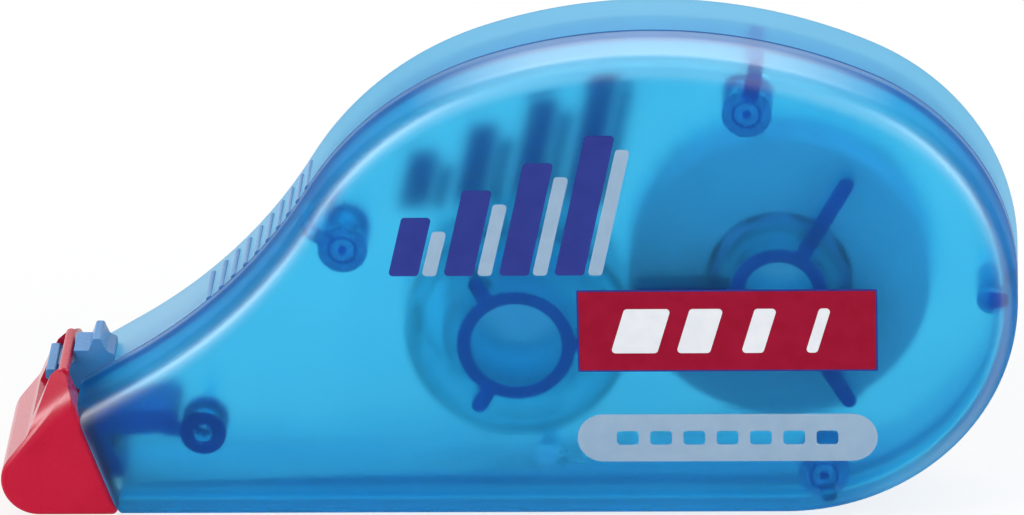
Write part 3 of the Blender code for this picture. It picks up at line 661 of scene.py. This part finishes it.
def lug_outline():
    """Side outline of the thumb pad, from under the tongue round to the groove."""
    left = HINGE + Vector((-GROOVE - TONGUE + 0.25 * MM, -0.7 * MM))
    ridge_top = HINGE + Vector((LUG_LENGTH * 0.65, LUG_RISE))
    step = HINGE.y + LUG_RISE * 0.3
    slope = math.tan(math.radians(NECK_SLOPE))
    sink = WALL * 0.6
    under = [NECK_SEAT + Vector((x, x * slope - sink)) for x in (LUG_LENGTH, GROOVE)]
    end = HINGE + Vector((LUG_LENGTH - LUG_SOFT, -0.1 * MM))
    crest = Vector((RIB * 0.12, 0))
    soft_top = ridge_top - Vector((0, RIDGE_SOFT))
    return ([left, left + Vector((0, -0.5 * MM)),
             Vector((HINGE.x, under[1].y + sink)), under[1], under[0]]
            + arc(end, LUG_SOFT, 0, 90, 4)
            + [Vector((ridge_top.x + RIB * 0.55, step))]
            + arc(soft_top + crest, RIDGE_SOFT, 10, 90, 4)
            + arc(soft_top - crest, RIDGE_SOFT, 90, 170, 4)
            + [Vector((ridge_top.x - RIB * 0.55, step)),
               Vector((HINGE.x + GROOVE - 0.2 * MM, step))]
            + arc(HINGE, GROOVE, 360, 252, 12))


lug = prism(lug_outline(), -HEAD_HALF, BACK_EDGE - BITE / 4)
lug.materials.append(LUG_BLUE)
features.append(lug)
lip = HINGE + Vector((-GROOVE - TONGUE / 2, -0.5 * MM - TONGUE * 0.55))
tongue = prism(box_outline(lip, TONGUE, TONGUE, 0.2 * MM), -HEAD_HALF - 0.05 * MM,
               TONGUE_FRONT)
tongue.materials.append(LUG_BLUE)
features.append(tongue)

back_wall = shell_wall(-HALF, BACK_EDGE, BACK_ROUNDING, BACK_DRAFT, 6)
piece("shell_back", [moulded(back_wall, features, [], SHELL_LOOKS)], SHELL_LOOKS, "case",
      "back_shell")

# Supply gear: forty straight-flanked teeth on a disc, with a sleeve that turns
# on the case's spindle; natural plastic tinted pale blue
SUPPLY_TEETH = 40
TAKE_UP_TEETH = 30
MODULE = 2 * CENTRES / (SUPPLY_TEETH + TAKE_UP_TEETH)
ADDENDUM = 0.5 * MM
DEDENDUM = 0.68 * MM
BACKLASH = 0.24 * MM
PRESSURE_ANGLE = 20
TOOTH_ROOT = 0.25 * MM
TOOTH_SOFT = 0.1 * MM
GEAR_BLUE = plastic("gear_plastic", 0.3, 0.004, (0.34, 0.46), 5,
                    ((0.54, 0.88, 0.98), (0.60, 0.91, 0.99)), 0.98, 1.1)


def tooth():
    """One tooth pointing along X, with its pitch point at the origin."""
    half = math.pi * MODULE / 4 - BACKLASH / 2
    slope = math.tan(math.radians(PRESSURE_ANGLE))
    root = -DEDENDUM - TOOTH_ROOT
    shoulder = ADDENDUM - TOOTH_SOFT
    side = [Vector((root, half - root * slope)), Vector((0, half)),
            Vector((shoulder, half - shoulder * slope)),
            Vector((ADDENDUM, half - ADDENDUM * slope - TOOTH_SOFT * 0.8))]
    mirror = [Vector((p.x, -p.y)) for p in reversed(side)]
    return prism(side + mirror, GEAR_BACK, -REEL_HALF)


def gear_ring(centre, teeth, bore):
    """Disc of a gear from its bore to the roots of its teeth."""
    root = MODULE * teeth / 2 - DEDENDUM
    return turned(centre, [(bore, GEAR_BACK), (root, GEAR_BACK), (root, -REEL_HALF),
                           (bore, -REEL_HALF)], 120)


def gear_teeth(centre, teeth, heading):
    return copied(tooth(), teeth, MODULE * teeth / 2, heading,
                  360 * (teeth - 1) / teeth, centre, GEAR_BLUE)


SLEEVE_BORE = SPINDLES[0][1] + RUN
SLEEVE = SLEEVE_BORE + 0.45 * MM
gap_heading = SUPPLY_ANGLE + 180 + 180 / SUPPLY_TEETH
sleeve = turned(SUPPLY, [(SLEEVE, REEL_HALF), (SLEEVE, GEAR_BACK - RUN / 3),
                         (SLEEVE_BORE, GEAR_BACK - RUN / 3), (SLEEVE_BORE, REEL_HALF)])
piece("supply_gear_wheel",
      [gear_ring(SUPPLY, SUPPLY_TEETH, SLEEVE_BORE + 0.2 * MM),
       gear_teeth(SUPPLY, SUPPLY_TEETH, gap_heading), sleeve],
      [GEAR_BLUE], "supply_drive", "supply_gear")

# Slip clutch: a springy lobed ring between sleeve and core, which lets the
# roll turn slower than its gear as the take-up drum fills
CLUTCH_LOBES = 8
CLUTCH_LOBE = 0.22 * MM
CLUTCH_GAP = 0.06 * MM
CLUTCH_BORE = SLEEVE + CLUTCH_GAP
CLUTCH_MEAN = SLEEVE + SEAT + 0.5 * MM
CLUTCH_BLUE = plastic("clutch_plastic", 0.25, 0.004, (0.34, 0.46), 4,
                      ((0.20, 0.28, 0.56), (0.24, 0.32, 0.60)))


def lobed_ring():
    work = bmesh.new()
    steps = 160
    rows = []
    for height in (-REEL_HALF + SEAT, TAPE_HALF):
        for inside in (True, False):
            ring = []
            for k in range(steps):
                turn = 360 * k / steps
                lobe = CLUTCH_LOBE * math.cos(math.radians(CLUTCH_LOBES * turn))
                radius = CLUTCH_BORE if inside else CLUTCH_MEAN + lobe
                place = SUPPLY + polar(radius, turn)
                ring.append(work.verts.new((place.x, place.y, height)))
            rows.append(ring)
    for a, b in ((0, 1), (1, 3), (3, 2), (2, 0)):
        for k in range(steps):
            work.faces.new((rows[a][k - 1], rows[a][k], rows[b][k], rows[b][k - 1]))
    return mesh_of(work, "lobed_ring")


piece("clutch_ring", [lobed_ring()], [CLUTCH_BLUE], "supply_drive", "slip_clutch")

# Core and roll: the tape is wound on a plastic core, several hundred turns of
# white-coated film that show as fine rings on the sides of the roll
CORE_GAP = 0.08 * MM
CORE_BORE = CLUTCH_MEAN + CLUTCH_LOBE + CORE_GAP
CORE_RADIUS = CORE_BORE + SEAT + 0.6 * MM
ROLL_BORE = CORE_RADIUS + 0.02 * MM
RING_SPACING = 0.35 * MM
CORE_BLUE = plastic("core_plastic", 0.25, 0.004, (0.36, 0.48), 4,
                    ((0.33, 0.42, 0.58), (0.37, 0.46, 0.62)))


def soft_ring(centre, bore, radius, low, high, soft, steps=128):
    """Ring with softened edges."""
    return turned(centre, [(bore + soft, low), (radius - soft, low), (radius, low + soft),
                           (radius, high - soft), (radius - soft, high),
                           (bore + soft, high), (bore, high - soft), (bore, low + soft)],
                  steps)


def wound_tape_in_shade():
    """White tape seen edge on, in dim blue-grey tones that paint the shade inside the case:
    rings round the roll's axis, a few standing proud.
    """
    made, tree, shader = shader_of("wound_tape_shaded")
    place = grain(tree, shader, 0.08, 0.002, (0.55, 0.7))
    centred = node(tree, "Mapping", {"Vector": place, "Location": (-SUPPLY.x, 0, -SUPPLY.y)})
    rings = node(tree, "TexWave", {"Vector": centred.outputs["Vector"],
                                   "Scale": math.pi / (10 * RING_SPACING),
                                   "Distortion": 1.5, "Detail": 2.0},
                 wave_type="RINGS", rings_direction="Y").outputs["Fac"]
    tones = node(tree, "ValToRGB", {"Fac": rings})
    # Painted shade: the white tape's ring tones are a dim blue-grey.
    tones.color_ramp.elements[0].color = (0.33, 0.41, 0.56, 1)
    tones.color_ramp.elements[1].color = (0.41, 0.49, 0.64, 1)
    bump = node(tree, "Bump", {"Height": rings, "Distance": 0.02 * MM})
    feed(tree, shader, {"Base Color": tones.outputs["Color"],
                        "Normal": bump.outputs["Normal"]})
    return made


piece("core_ring", [soft_ring(SUPPLY, CORE_BORE, CORE_RADIUS, -REEL_HALF + SEAT, REEL_HALF,
                              0.1 * MM)],
      [CORE_BLUE], "supply_reel", "supply_core")
piece("tape_spool", [soft_ring(SUPPLY, ROLL_BORE, ROLL_RADIUS, -TAPE_HALF, TAPE_HALF,
                               0.06 * MM, 160)],
      [wound_tape_in_shade()], "supply_reel", "tape_roll")

# Take-up reel: a smaller gear in mesh with the first, moulded in one with the
# drum that winds the used film, its hub and a thin front flange
REEL_BORE = SPINDLES[1][1] + RUN
HUB = REEL_BORE + 0.9 * MM
DRUM_INSIDE = DRUM_RADIUS - 0.8 * MM
REEL_FRONT = REEL_HALF + 0.5 * MM
WEB = 0.8 * MM
FLANGE_SOFT = 0.1 * MM
HUB_BACK = GEAR_BACK - RUN / 3
drum = turned(TAKE_UP, [(FLANGE_RADIUS - FLANGE_SOFT, REEL_FRONT),
                        (FLANGE_RADIUS, REEL_FRONT - FLANGE_SOFT),
                        (FLANGE_RADIUS, REEL_HALF), (DRUM_RADIUS, REEL_HALF),
                        (DRUM_RADIUS, -REEL_HALF - BITE), (HUB, -REEL_HALF - BITE),
                        (HUB, HUB_BACK), (REEL_BORE, HUB_BACK),
                        (REEL_BORE, REEL_FRONT), (HUB - FLANGE_SOFT, REEL_FRONT),
                        (HUB, REEL_FRONT - FLANGE_SOFT), (HUB, -REEL_HALF + WEB),
                        (DRUM_INSIDE, -REEL_HALF + WEB), (DRUM_INSIDE, REEL_FRONT)], 120)
piece("take_up_wheel",
      [gear_ring(TAKE_UP, TAKE_UP_TEETH, REEL_BORE + 0.45 * MM),
       gear_teeth(TAKE_UP, TAKE_UP_TEETH, SUPPLY_ANGLE), drum],
      [GEAR_BLUE], "take_up", "take_up_reel")

# Used film: the clear polyester carrier, stripped of its white coating, wound
# turn by turn on the take-up drum
FILM_BORE = DRUM_RADIUS + SEAT
FILM_RADIUS = FILM_BORE + 0.3 * MM
CLEAR_FILM = plastic("clear_film", 0.5, 0.003, (0.16, 0.28), 6,
                     ((0.86, 0.93, 0.97), (0.92, 0.96, 0.99)), 0.97, 1.12)
piece("film_turns", [soft_ring(TAKE_UP, FILM_BORE, FILM_RADIUS, -TAPE_HALF, TAPE_HALF,
                               0.05 * MM)],
      [CLEAR_FILM], "take_up", "film_winding")

# Tape and film runs: the tape leaves the bottom of the roll, passes under the
# guide and round the tip, and its bare film goes back over the blade to the drum
TAPE_THICKNESS = 0.1 * MM
BLADE_LENGTH = 5.3 * MM
BLADE_RISE = 1.7 * MM
BLADE_CORNER = 0.8 * MM
TIP_RADIUS = 0.4 * MM
BLADE = TIP + Vector((BLADE_LENGTH, BLADE_RISE))
LIFT = SEAT + 0.075 * MM
LEAD = 20
CHALK_WHITE = plastic("chalk_tape", 0.12, 0.004, (0.6, 0.75), 3,
                      ((0.88, 0.92, 0.95), (0.93, 0.96, 0.98)), 0.85, 1.2)
ROUTE = [(SUPPLY, ROLL_RADIUS + LIFT, -1), (GUIDE, GUIDE_RADIUS + LIFT, -1),
         (TIP, TIP_RADIUS + LIFT, -1), (BLADE, BLADE_CORNER + LIFT, -1),
         (TAKE_UP, FILM_RADIUS + LIFT, 1)]
HEADINGS = [tangent(a, b) for a, b in zip(ROUTE, ROUTE[1:])]


def strip(path):
    """Closed strip of tape along a path of the front view."""
    rows = []
    for i, point in enumerate(path):
        run = path[min(i + 1, len(path) - 1)] - path[max(i - 1, 0)]
        side = Vector((-run.y, run.x)).normalized() * TAPE_THICKNESS / 2
        rows.append([(*(point + side * sign), height)
                     for sign, height in ((1, -TAPE_HALF), (1, TAPE_HALF),
                                          (-1, TAPE_HALF), (-1, -TAPE_HALF))])
    return skinned(rows, "strip")


tape = wrap(ROUTE[0], HEADINGS[0] + LEAD, HEADINGS[0], 2)
tape += wrap(ROUTE[1], HEADINGS[0], HEADINGS[1], 4)
tape += wrap(ROUTE[2], HEADINGS[1], HEADINGS[2], 8)
piece("tape_run", [strip(tape)], [CHALK_WHITE], "case", "feed_tape")
film = [tape[-1] + polar(SEAT, HEADINGS[2])]
film += wrap(ROUTE[3], HEADINGS[2], HEADINGS[3], 5)
film += wrap(ROUTE[4], HEADINGS[3], HEADINGS[3] + LEAD, 2)
piece("film_run", [strip(film)], [CLEAR_FILM], "case", "return_film")

# Applicator head: a springy navy moulding with a wedge blade that presses the
# tape on, side plates that guide it, and a narrow arm to an eyelet that the
# case's post holds
HEEL_STOP = BLADE + Vector((BLADE_CORNER, -BLADE_RISE * 0.6))
STEM_RADIUS = 1.0 * MM
STEM_FRONT = TIP + Vector((BLADE_LENGTH * 0.75, 4.8 * MM))
PLATE_FRONT = TIP + Vector((BLADE_LENGTH * 0.28, BLADE_RISE * 0.45))
EYELET_RADIUS = 1.83 * MM
EYELET_DEPTH = 0.9 * MM
STEM_BACK = EYELET + Vector((-3.1 * MM, -0.2 * MM))
EYELET_BACK = HEAD_HALF - EYELET_DEPTH
ARM_WIDTH = 1.0 * MM
ARM_FRONT = HEAD_HALF - 0.03 * MM
ARM_START = STEM_BACK - Vector((0, 0.6 * MM))
ARM_END = EYELET - Vector((0.6 * MM, 1.05 * MM))
HEAD_NAVY = [plastic("head_plastic", 0.2, 0.004, (0.26, 0.38), 4,
                     ((0.045, 0.055, 0.44), (0.06, 0.075, 0.50)), 0.35)]
blade = loop([(TIP, TIP_RADIUS, 1), (HEEL_STOP, TIP_RADIUS, 1), (BLADE, BLADE_CORNER, 1)])
stem = loop([(STEM_FRONT, STEM_RADIUS, 1), (STEM_BACK, STEM_RADIUS, 1)])
inside = REEL_HALF + BITE / 2
head_parts = [rod(EYELET, EYELET_RADIUS, EYELET_BACK, HEAD_HALF, 0.15 * MM, 48),
              prism(stem, -inside, inside),
              rib(ARM_START, ARM_END, ARM_WIDTH, EYELET_BACK, ARM_FRONT)]
for low, high in ((-HEAD_HALF, -REEL_HALF), (REEL_HALF, HEAD_HALF)):
    cheek_plate = loop([(PLATE_FRONT, TIP_RADIUS, 1), (HEEL_STOP, TIP_RADIUS, 1),
                        (STEM_FRONT, STEM_RADIUS * 0.8, 1)])
    head_parts.append(prism(cheek_plate, low, high))
head_mesh = moulded(prism(blade, -inside, inside), head_parts,
                    [rod(EYELET, EYELET_POST + SEAT, -HALF, HALF)], HEAD_NAVY)
piece("tip_head", [head_mesh], HEAD_NAVY, "case", "applicator_head")

# Front shell: the shallower half, of the same clear blue, with a fuller edge all
# round. Its two tubes are the spindles of the reels, each on three ribs, and its
# sockets take the back shell's pins
FRONT_ROUNDING = 2.1 * MM
FRONT_DRAFT = 0.2 * MM
ROOT = INNER - 0.005 * MM
TUBE_SOFT = 0.05 * MM
SOCKET_END = FRONT_EDGE + PIN_LENGTH + SEAT
DOT_RADIUS = PIN_RADIUS * 0.7
DOT_BACK = FRONT_EDGE + PIN_LENGTH + RUN * 2
BOSS_RING = (0.5, 0.6)
NECK_AND_HEEL = (1, 2)
front_adds, front_posts, front_cuts, clear_ties = [], [], [], []


def tube(centre, bore, radius, low, high):
    """Plain round tube."""
    return turned(centre, [(bore, low), (radius, low), (radius, high), (bore, high)], 40)


for centre, outer, bore, reach, turn in SPINDLES:
    front_adds.append(rod(centre, outer, SPINDLE_END, ROOT, TUBE_SOFT, 64))
    for k in range(3):
        heading = turn + 120 * k
        start = centre + polar((outer + bore) / 2, heading)
        front_adds.append(rib(start, centre + polar(reach - RIB / 2, heading), RIB,
                              REEL_FRONT + RUN, ROOT))
    front_cuts.append(rod(centre, bore, SPINDLE_END - RUN, INNER + RUN, TUBE_SOFT, 64))
for k, (centre, radius, foot) in enumerate(POSTS):
    front_posts.append(rod(centre, radius, FRONT_EDGE + SEAT, ROOT))
    front_adds.append(rod(centre, DOT_RADIUS, DOT_BACK, ROOT))
    front_adds.append(tube(centre, radius * BOSS_RING[0], radius * BOSS_RING[1],
                           ROOT - BITE, ROOT))
    toward = foot - centre
    start = centre + toward.normalized() * (min(radius, toward.length) - BITE)
    tie = rib(start, foot, RIB, FRONT_EDGE + SEAT + BITE, ROOT)
    (clear_ties if k in NECK_AND_HEEL else front_adds).append(tie)
    front_cuts.append(rod(centre, PIN_RADIUS + SEAT, SPLIT, SOCKET_END, steps=24))
front_adds.append(tube(EYELET, EYELET_POST + SEAT, EYELET_RADIUS, HEAD_HALF + SEAT, ROOT))
for mesh in front_adds:
    feature(mesh, SMOOTH_BLUE, THICK_BLUE, SMOOTH_BLUE)
for mesh in clear_ties + front_cuts:
    feature(mesh, SMOOTH_BLUE, SMOOTH_BLUE, SMOOTH_BLUE)
for mesh in front_posts:
    feature(mesh, SMOOTH_BLUE, RIM_BLUE, THICK_BLUE)
front_adds += clear_ties + front_posts
front_wall = shell_wall(HALF, FRONT_EDGE, FRONT_ROUNDING, FRONT_DRAFT, 14)
inside_front = moulded(front_adds[0], front_adds[1:], front_cuts, SHELL_LOOKS)
piece("shell_front", [front_wall, inside_front], SHELL_LOOKS, "case", "front_shell")

# Flip cap: a glossy red hood over the tip, two cheeks joined by a front wall,
# which swings up on a bar snapped into the lug's groove
CAP_HALF = HALF - 0.15 * MM
CAP_INNER = HEAD_HALF + RUN
CAP_WALL = 1.2 * MM
CAP_FOOT = 0.5 * MM
CAP_HEEL_RADIUS = 0.45 * MM
EAR_RADIUS = 0.8 * MM
NOSE_RADIUS = 2.95 * MM
WAIST_RADIUS = 2.4 * MM
EDGE = -0.35 * MM
CHEEK_TOP = HINGE + MOUTH * BAR_RADIUS + MOUTH_OUT * (EAR_RADIUS + EDGE)
heel_run = (HINGE.y - CAP_FOOT - CAP_HEEL_RADIUS
            + MOUTH_OUT.y * (CAP_HEEL_RADIUS + EDGE)) / -MOUTH.y
CHEEK_HEEL = HINGE + MOUTH * heel_run + MOUTH_OUT * (CAP_HEEL_RADIUS + EDGE)
NOSE = Vector((-LENGTH / 2 + NOSE_RADIUS, CAP_FOOT + NOSE_RADIUS))
WAIST = NOSE + polar(NOSE_RADIUS + WAIST_RADIUS + 0.42 * MM, 119.0)


def hood(inset):
    """Side outline of the cap, moved inwards."""
    return loop([(CHEEK_TOP, EAR_RADIUS - inset, 1), (WAIST, WAIST_RADIUS + inset, -1),
                 (NOSE, NOSE_RADIUS - inset, 1),
                 (CHEEK_HEEL, CAP_HEEL_RADIUS - inset, 1)], 6)


def hood_block():
    """Solid of the cap's outside, its side edges rounded."""
    steps = 6
    soft = CAP_HEEL_RADIUS * 0.9
    rows = []
    for side in (-1, 1):
        for k in range(steps + 1)[::-side]:
            angle = math.pi / 2 * k / steps
            height = side * (CAP_HALF - soft * (1 - math.cos(angle)))
            rows.append([(p.x, p.y, height) for p in hood(soft * (1 - math.sin(angle)))])
    return skinned(rows, "hood")


def slab(point, along, facing):
    """Large block resting with one face at a point and facing away from it."""
    across = facing.cross(along)
    turn = Matrix((along, across, facing)).transposed().to_4x4()
    place = Matrix.Translation(point + facing * LENGTH / 2) @ turn
    work = bmesh.new()
    bmesh.ops.create_cube(work, size=LENGTH, matrix=place)
    return mesh_of(work, "slab")


def gloss_red():
    """Red of the cap: glossy between the cheeks, satin on their flat sides."""
    made = plastic("gloss_red", 0.22, 0.003, (0.2, 0.3), 4,
                   ((0.49, 0.007, 0.035), (0.53, 0.010, 0.041)))
    tree = made.node_tree
    matt, full = (0, 0, 0), (0.75, 0.75, 0.75)
    place = node(tree, "TexCoord", {}).outputs["Object"]
    gloss = depth_ramp(tree, place, [(0, matt), (0.2, matt), (0.7, full), (11.8, full),
                                     (12.3, matt)])
    feed(tree, tree.nodes["Principled BSDF"],
         {"Coat Weight": gloss, "Coat Roughness": 0.2, "Specular IOR Level": 0.09})
    return made


room = loop([(HINGE + Vector((EAR_RADIUS * 4, EAR_RADIUS)), CAP_WALL, 1),
             (WAIST, WAIST_RADIUS + CAP_WALL, -1), (NOSE, NOSE_RADIUS - CAP_WALL, 1),
             (Vector((TIP.x, -CAP_WALL)), TIP_RADIUS, 1),
             (Vector((EYELET.x, -CAP_WALL)), TIP_RADIUS, 1)])
WINDOW_DROP = 3.9 * MM
WINDOW_REACH = LENGTH / 4
window = [HINGE + Vector((x * WINDOW_REACH, y * WINDOW_DROP))
          for x, y in ((-1, -1), (1, -1), (1, 1), (-1, 1))]
cap_cuts = [prism(room, -CAP_INNER, CAP_INNER), prism(window, -CAP_INNER, CAP_INNER)]
crease = polar(1, 41.8)
band = polar(1, 46.0)
lean = math.radians(28.0)
BAND_WIDTH = 0.4 * MM
for side in (-1, 1):
    corner = Vector((HINGE.x + 0.5 * MM, HINGE.y - 1.0 * MM, side * CAP_HALF))
    facing = Vector((-crease.y * math.cos(lean), crease.x * math.cos(lean),
                     side * math.sin(lean)))
    along = Vector((crease.x, crease.y, 0))
    cap_cuts.append(slab(corner, along, facing))
    middle = (Vector((-band.y, band.x, 0)) * 0.6 + Vector((0, 0, side))).normalized()
    cap_cuts.append(slab(corner - middle * BAND_WIDTH, Vector((band.x, band.y, 0)), middle))
bar = rod(HINGE, BAR_RADIUS, -CAP_INNER - BITE, CAP_INNER + BITE, 0.05 * MM)
GLOSS_RED = [gloss_red()]
cap_mesh = moulded(moulded(hood_block(), [], cap_cuts, GLOSS_RED), [bar], [], GLOSS_RED)
piece("hinged_cap", [cap_mesh], GLOSS_RED, "cap", "flip_cap")

# Prints: thin inks on the outside of both flat faces, put on by pad in plain
# shapes: slanted bars on both, a panel and a strip of dashes on the front
INK = 0.03 * MM


def ink(name, first, second, clear=0.0):
    made = plastic(name, 0.1, 0.002, (0.4, 0.52), 1.5, (first, second), clear)
    made.node_tree.nodes["Principled BSDF"].inputs["Specular IOR Level"].default_value = 0.04
    return made


INK_RED = ink("ink_red", (0.31, 0.006, 0.028), (0.34, 0.008, 0.034))
INK_NAVY = ink("ink_navy", (0.028, 0.045, 0.31), (0.034, 0.052, 0.34), 0.25)
# Painted light: the back copy of the navy bars, in a lighter and clearer blue.
INK_BACK_LIGHTENED = ink("ink_back_lightened", (0.024, 0.08, 0.48), (0.03, 0.092, 0.52), 0.5)
INK_PALE = ink("ink_pale", (0.30, 0.43, 0.58), (0.33, 0.46, 0.61))
INK_WHITE = ink("ink_white", (0.78, 0.80, 0.84), (0.83, 0.85, 0.88))


def printed(name, outlines, look, layer=0, back=False, bare=()):
    """Thin printed shapes on the front face or the back one, with places left bare."""
    low = HALF + (0.15 + layer) * INK
    spans = (-low - INK, -low) if back else (low, low + INK)
    work = bmesh.new()
    for outline in outlines:
        work.from_mesh(prism(outline, *spans))
    mesh = mesh_of(work, name)
    if bare:
        windows = [prism(outline, spans[0] - INK, spans[1] + INK) for outline in bare]
        mesh = moulded(mesh, [], windows, [look])
        mesh.name = name
    mesh.transform(STAND)
    if not bare:
        mesh.materials.append(look)
    obj = bpy.data.objects.new(name, mesh)
    bpy.context.scene.collection.objects.link(obj)
    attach(obj, "case")
    return obj


PANEL = Vector((17.43 * MM, 16.6 * MM))
printed("print_panel_edge", [box_outline(PANEL, 23.35 * MM, 7.05 * MM, 0.12 * MM)], INK_NAVY)
printed("print_panel", [box_outline(PANEL, 23.05 * MM, 6.75 * MM, 0.1 * MM)], INK_RED, 1.1)


def slanted(foot, width, height, lean, radius=0.3 * MM):
    """Slanted bar with soft corners, standing on the middle of its foot."""
    top = Vector((height * math.tan(math.radians(lean)), height - 2 * radius))
    base = foot + Vector((0, radius))
    x = Vector((width / 2 - radius, 0))
    return loop([(base - x, radius, 1), (base + x, radius, 1), (base + top + x, radius, 1),
                 (base + top - x, radius, 1)], 15)


stripes = []
for k, width in enumerate((3.6, 2.6, 1.7, 0.9)):
    foot = PANEL + Vector(((-7.2 + 4.6 * k) * MM, -1.9 * MM))
    stripes.append(slanted(foot, width * MM, 3.8 * MM, 14))
printed("print_panel_bars", stripes, INK_WHITE, 2.2)

PILL = Vector((17.3 * MM, 7.3 * MM))
dashes = [box_outline(PILL + Vector(((k - 3) * 2.6 * MM, 0)), 1.7 * MM, 1.2 * MM, 0.3 * MM)
          for k in range(7)]
printed("print_pill", [box_outline(PILL, 23.45 * MM, 4.1 * MM, 2.04 * MM)], INK_PALE,
        bare=dashes)

BARS = Vector((-7.6 * MM, 21.4 * MM))
BAR_STEP = 4.3
BAR_CLIMB = 2.3
BAR_LEAN = 12


def bar_row(offset, width, height):
    """Four slanted bars, each higher than the one before, sizes in mm."""
    return [slanted(BARS + Vector(((k * BAR_STEP + offset) * MM, 0)), width * MM,
                    (height + BAR_CLIMB * k) * MM, BAR_LEAN) for k in range(4)]


for back in (False, True):
    side = "_back" if back else ""
    printed("print_bars_navy" + side, bar_row(0, 2.3, 5.0), INK_BACK_LIGHTENED if back else INK_NAVY,
            0, back)
    printed("print_bars_pale" + side, bar_row(2.0, 1.1, 3.8), INK_PALE, 0, back)

# Studio: a pale floor under a broad soft light from above, with the camera at
# the height and turn of the photograph
work = bmesh.new()
bmesh.ops.create_grid(work, x_segments=8, y_segments=8, size=3.0)
floor_mesh = mesh_of(work, "floor")
floor = bpy.data.objects.new("floor", floor_mesh)
floor.location.z = -0.0002
bpy.context.scene.collection.objects.link(floor)


def white_to_view(tree, seen, mirrored, through):
    """Share of plain white for rays that see it straight, mirrored or through the case."""
    path = node(tree, "LightPath", {}).outputs
    shares = []
    for ray, value in (("Is Camera Ray", seen), ("Is Glossy Ray", mirrored),
                       ("Is Transmission Ray", through)):
        share = node(tree, "Math", {0: path[ray], 1: value}, operation="MULTIPLY")
        shares.append(share.outputs["Value"])
    return largest(tree, shares)


def pale_floor():
    made, tree, shader = shader_of("pale_floor")
    feed(tree, shader, {"Base Color": (0.93, 0.93, 0.93, 1), "Roughness": 0.9,
                        "Specular IOR Level": 0.1})
    glow = node(tree, "Emission", {})
    mix = node(tree, "MixShader", {"Fac": white_to_view(tree, 0.8, 0.4, 0.5),
                                   1: shader.outputs["BSDF"], 2: glow.outputs["Emission"]})
    feed(tree, tree.nodes["Material Output"], {"Surface": mix.outputs["Shader"]})
    return made


floor_mesh.materials.append(pale_floor())

world = bpy.data.worlds.new("studio")
world.use_nodes = True
bpy.context.scene.world = world
sky = world.node_tree
strength = node(sky, "MapRange", {"Value": white_to_view(sky, 1.0, 1.0, 1.0),
                                  "To Min": 0.43, "To Max": 1.0})
feed(sky, sky.nodes["Background"], {"Color": (1, 1, 1, 1),
                                    "Strength": strength.outputs["Result"]})


def softbox(name, place, aim, width, height, power):
    lamp = bpy.data.lights.new(name, "AREA")
    lamp.shape = "RECTANGLE"
    lamp.size = width
    lamp.size_y = height
    lamp.energy = power
    obj = bpy.data.objects.new(name, lamp)
    obj.location = place
    obj.rotation_euler = (Vector(aim) - Vector(place)).to_track_quat("-Z", "Y").to_euler()
    bpy.context.scene.collection.objects.link(obj)


MIDDLE = (0, 0, 0.02)
softbox("back_light", (0.0, 0.44, 0.42), MIDDLE, 0.7, 0.24, 1.7)
softbox("left_light", (-0.39, -0.21, 0.26), MIDDLE, 0.08, 0.42, 1.35)
softbox("right_light", (0.43, -0.20, 0.22), MIDDLE, 0.09, 0.42, 1.15)

CAMERA_RISE = math.radians(25.5)
CAMERA_TURN = math.radians(3.455)
CAMERA_ROLL = math.radians(1.733)
FRAME_WIDTH = 1024
FOCAL_PIXELS = 9065
PIXELS_PER_MM = 12.78
SHIFT_PIXELS = 14.36
SENSOR = 36
AIM = Vector((0.48 * MM, -0.55 * MM, 19.0 * MM))
camera_data = bpy.data.cameras.new("camera")
camera_data.sensor_width = SENSOR
camera_data.lens = FOCAL_PIXELS / FRAME_WIDTH * SENSOR
camera_data.shift_y = SHIFT_PIXELS / FRAME_WIDTH
camera_data.clip_start = 0.01
camera = bpy.data.objects.new("camera", camera_data)
back = Vector((math.sin(CAMERA_TURN) * math.cos(CAMERA_RISE),
               -math.cos(CAMERA_TURN) * math.cos(CAMERA_RISE), math.sin(CAMERA_RISE)))
right = Vector((math.cos(CAMERA_TURN), math.sin(CAMERA_TURN), 0))
up = back.cross(right)
level = right * math.cos(CAMERA_ROLL) - up * math.sin(CAMERA_ROLL)
upright = up * math.cos(CAMERA_ROLL) + right * math.sin(CAMERA_ROLL)
place = AIM + back * (FOCAL_PIXELS / PIXELS_PER_MM) * MM
camera.matrix_world = Matrix((level, upright, back)).transposed().to_4x4()
camera.location = place
bpy.context.scene.collection.objects.link(camera)
bpy.context.scene.camera = camera
bpy.context.scene.view_settings.view_transform = "Standard"
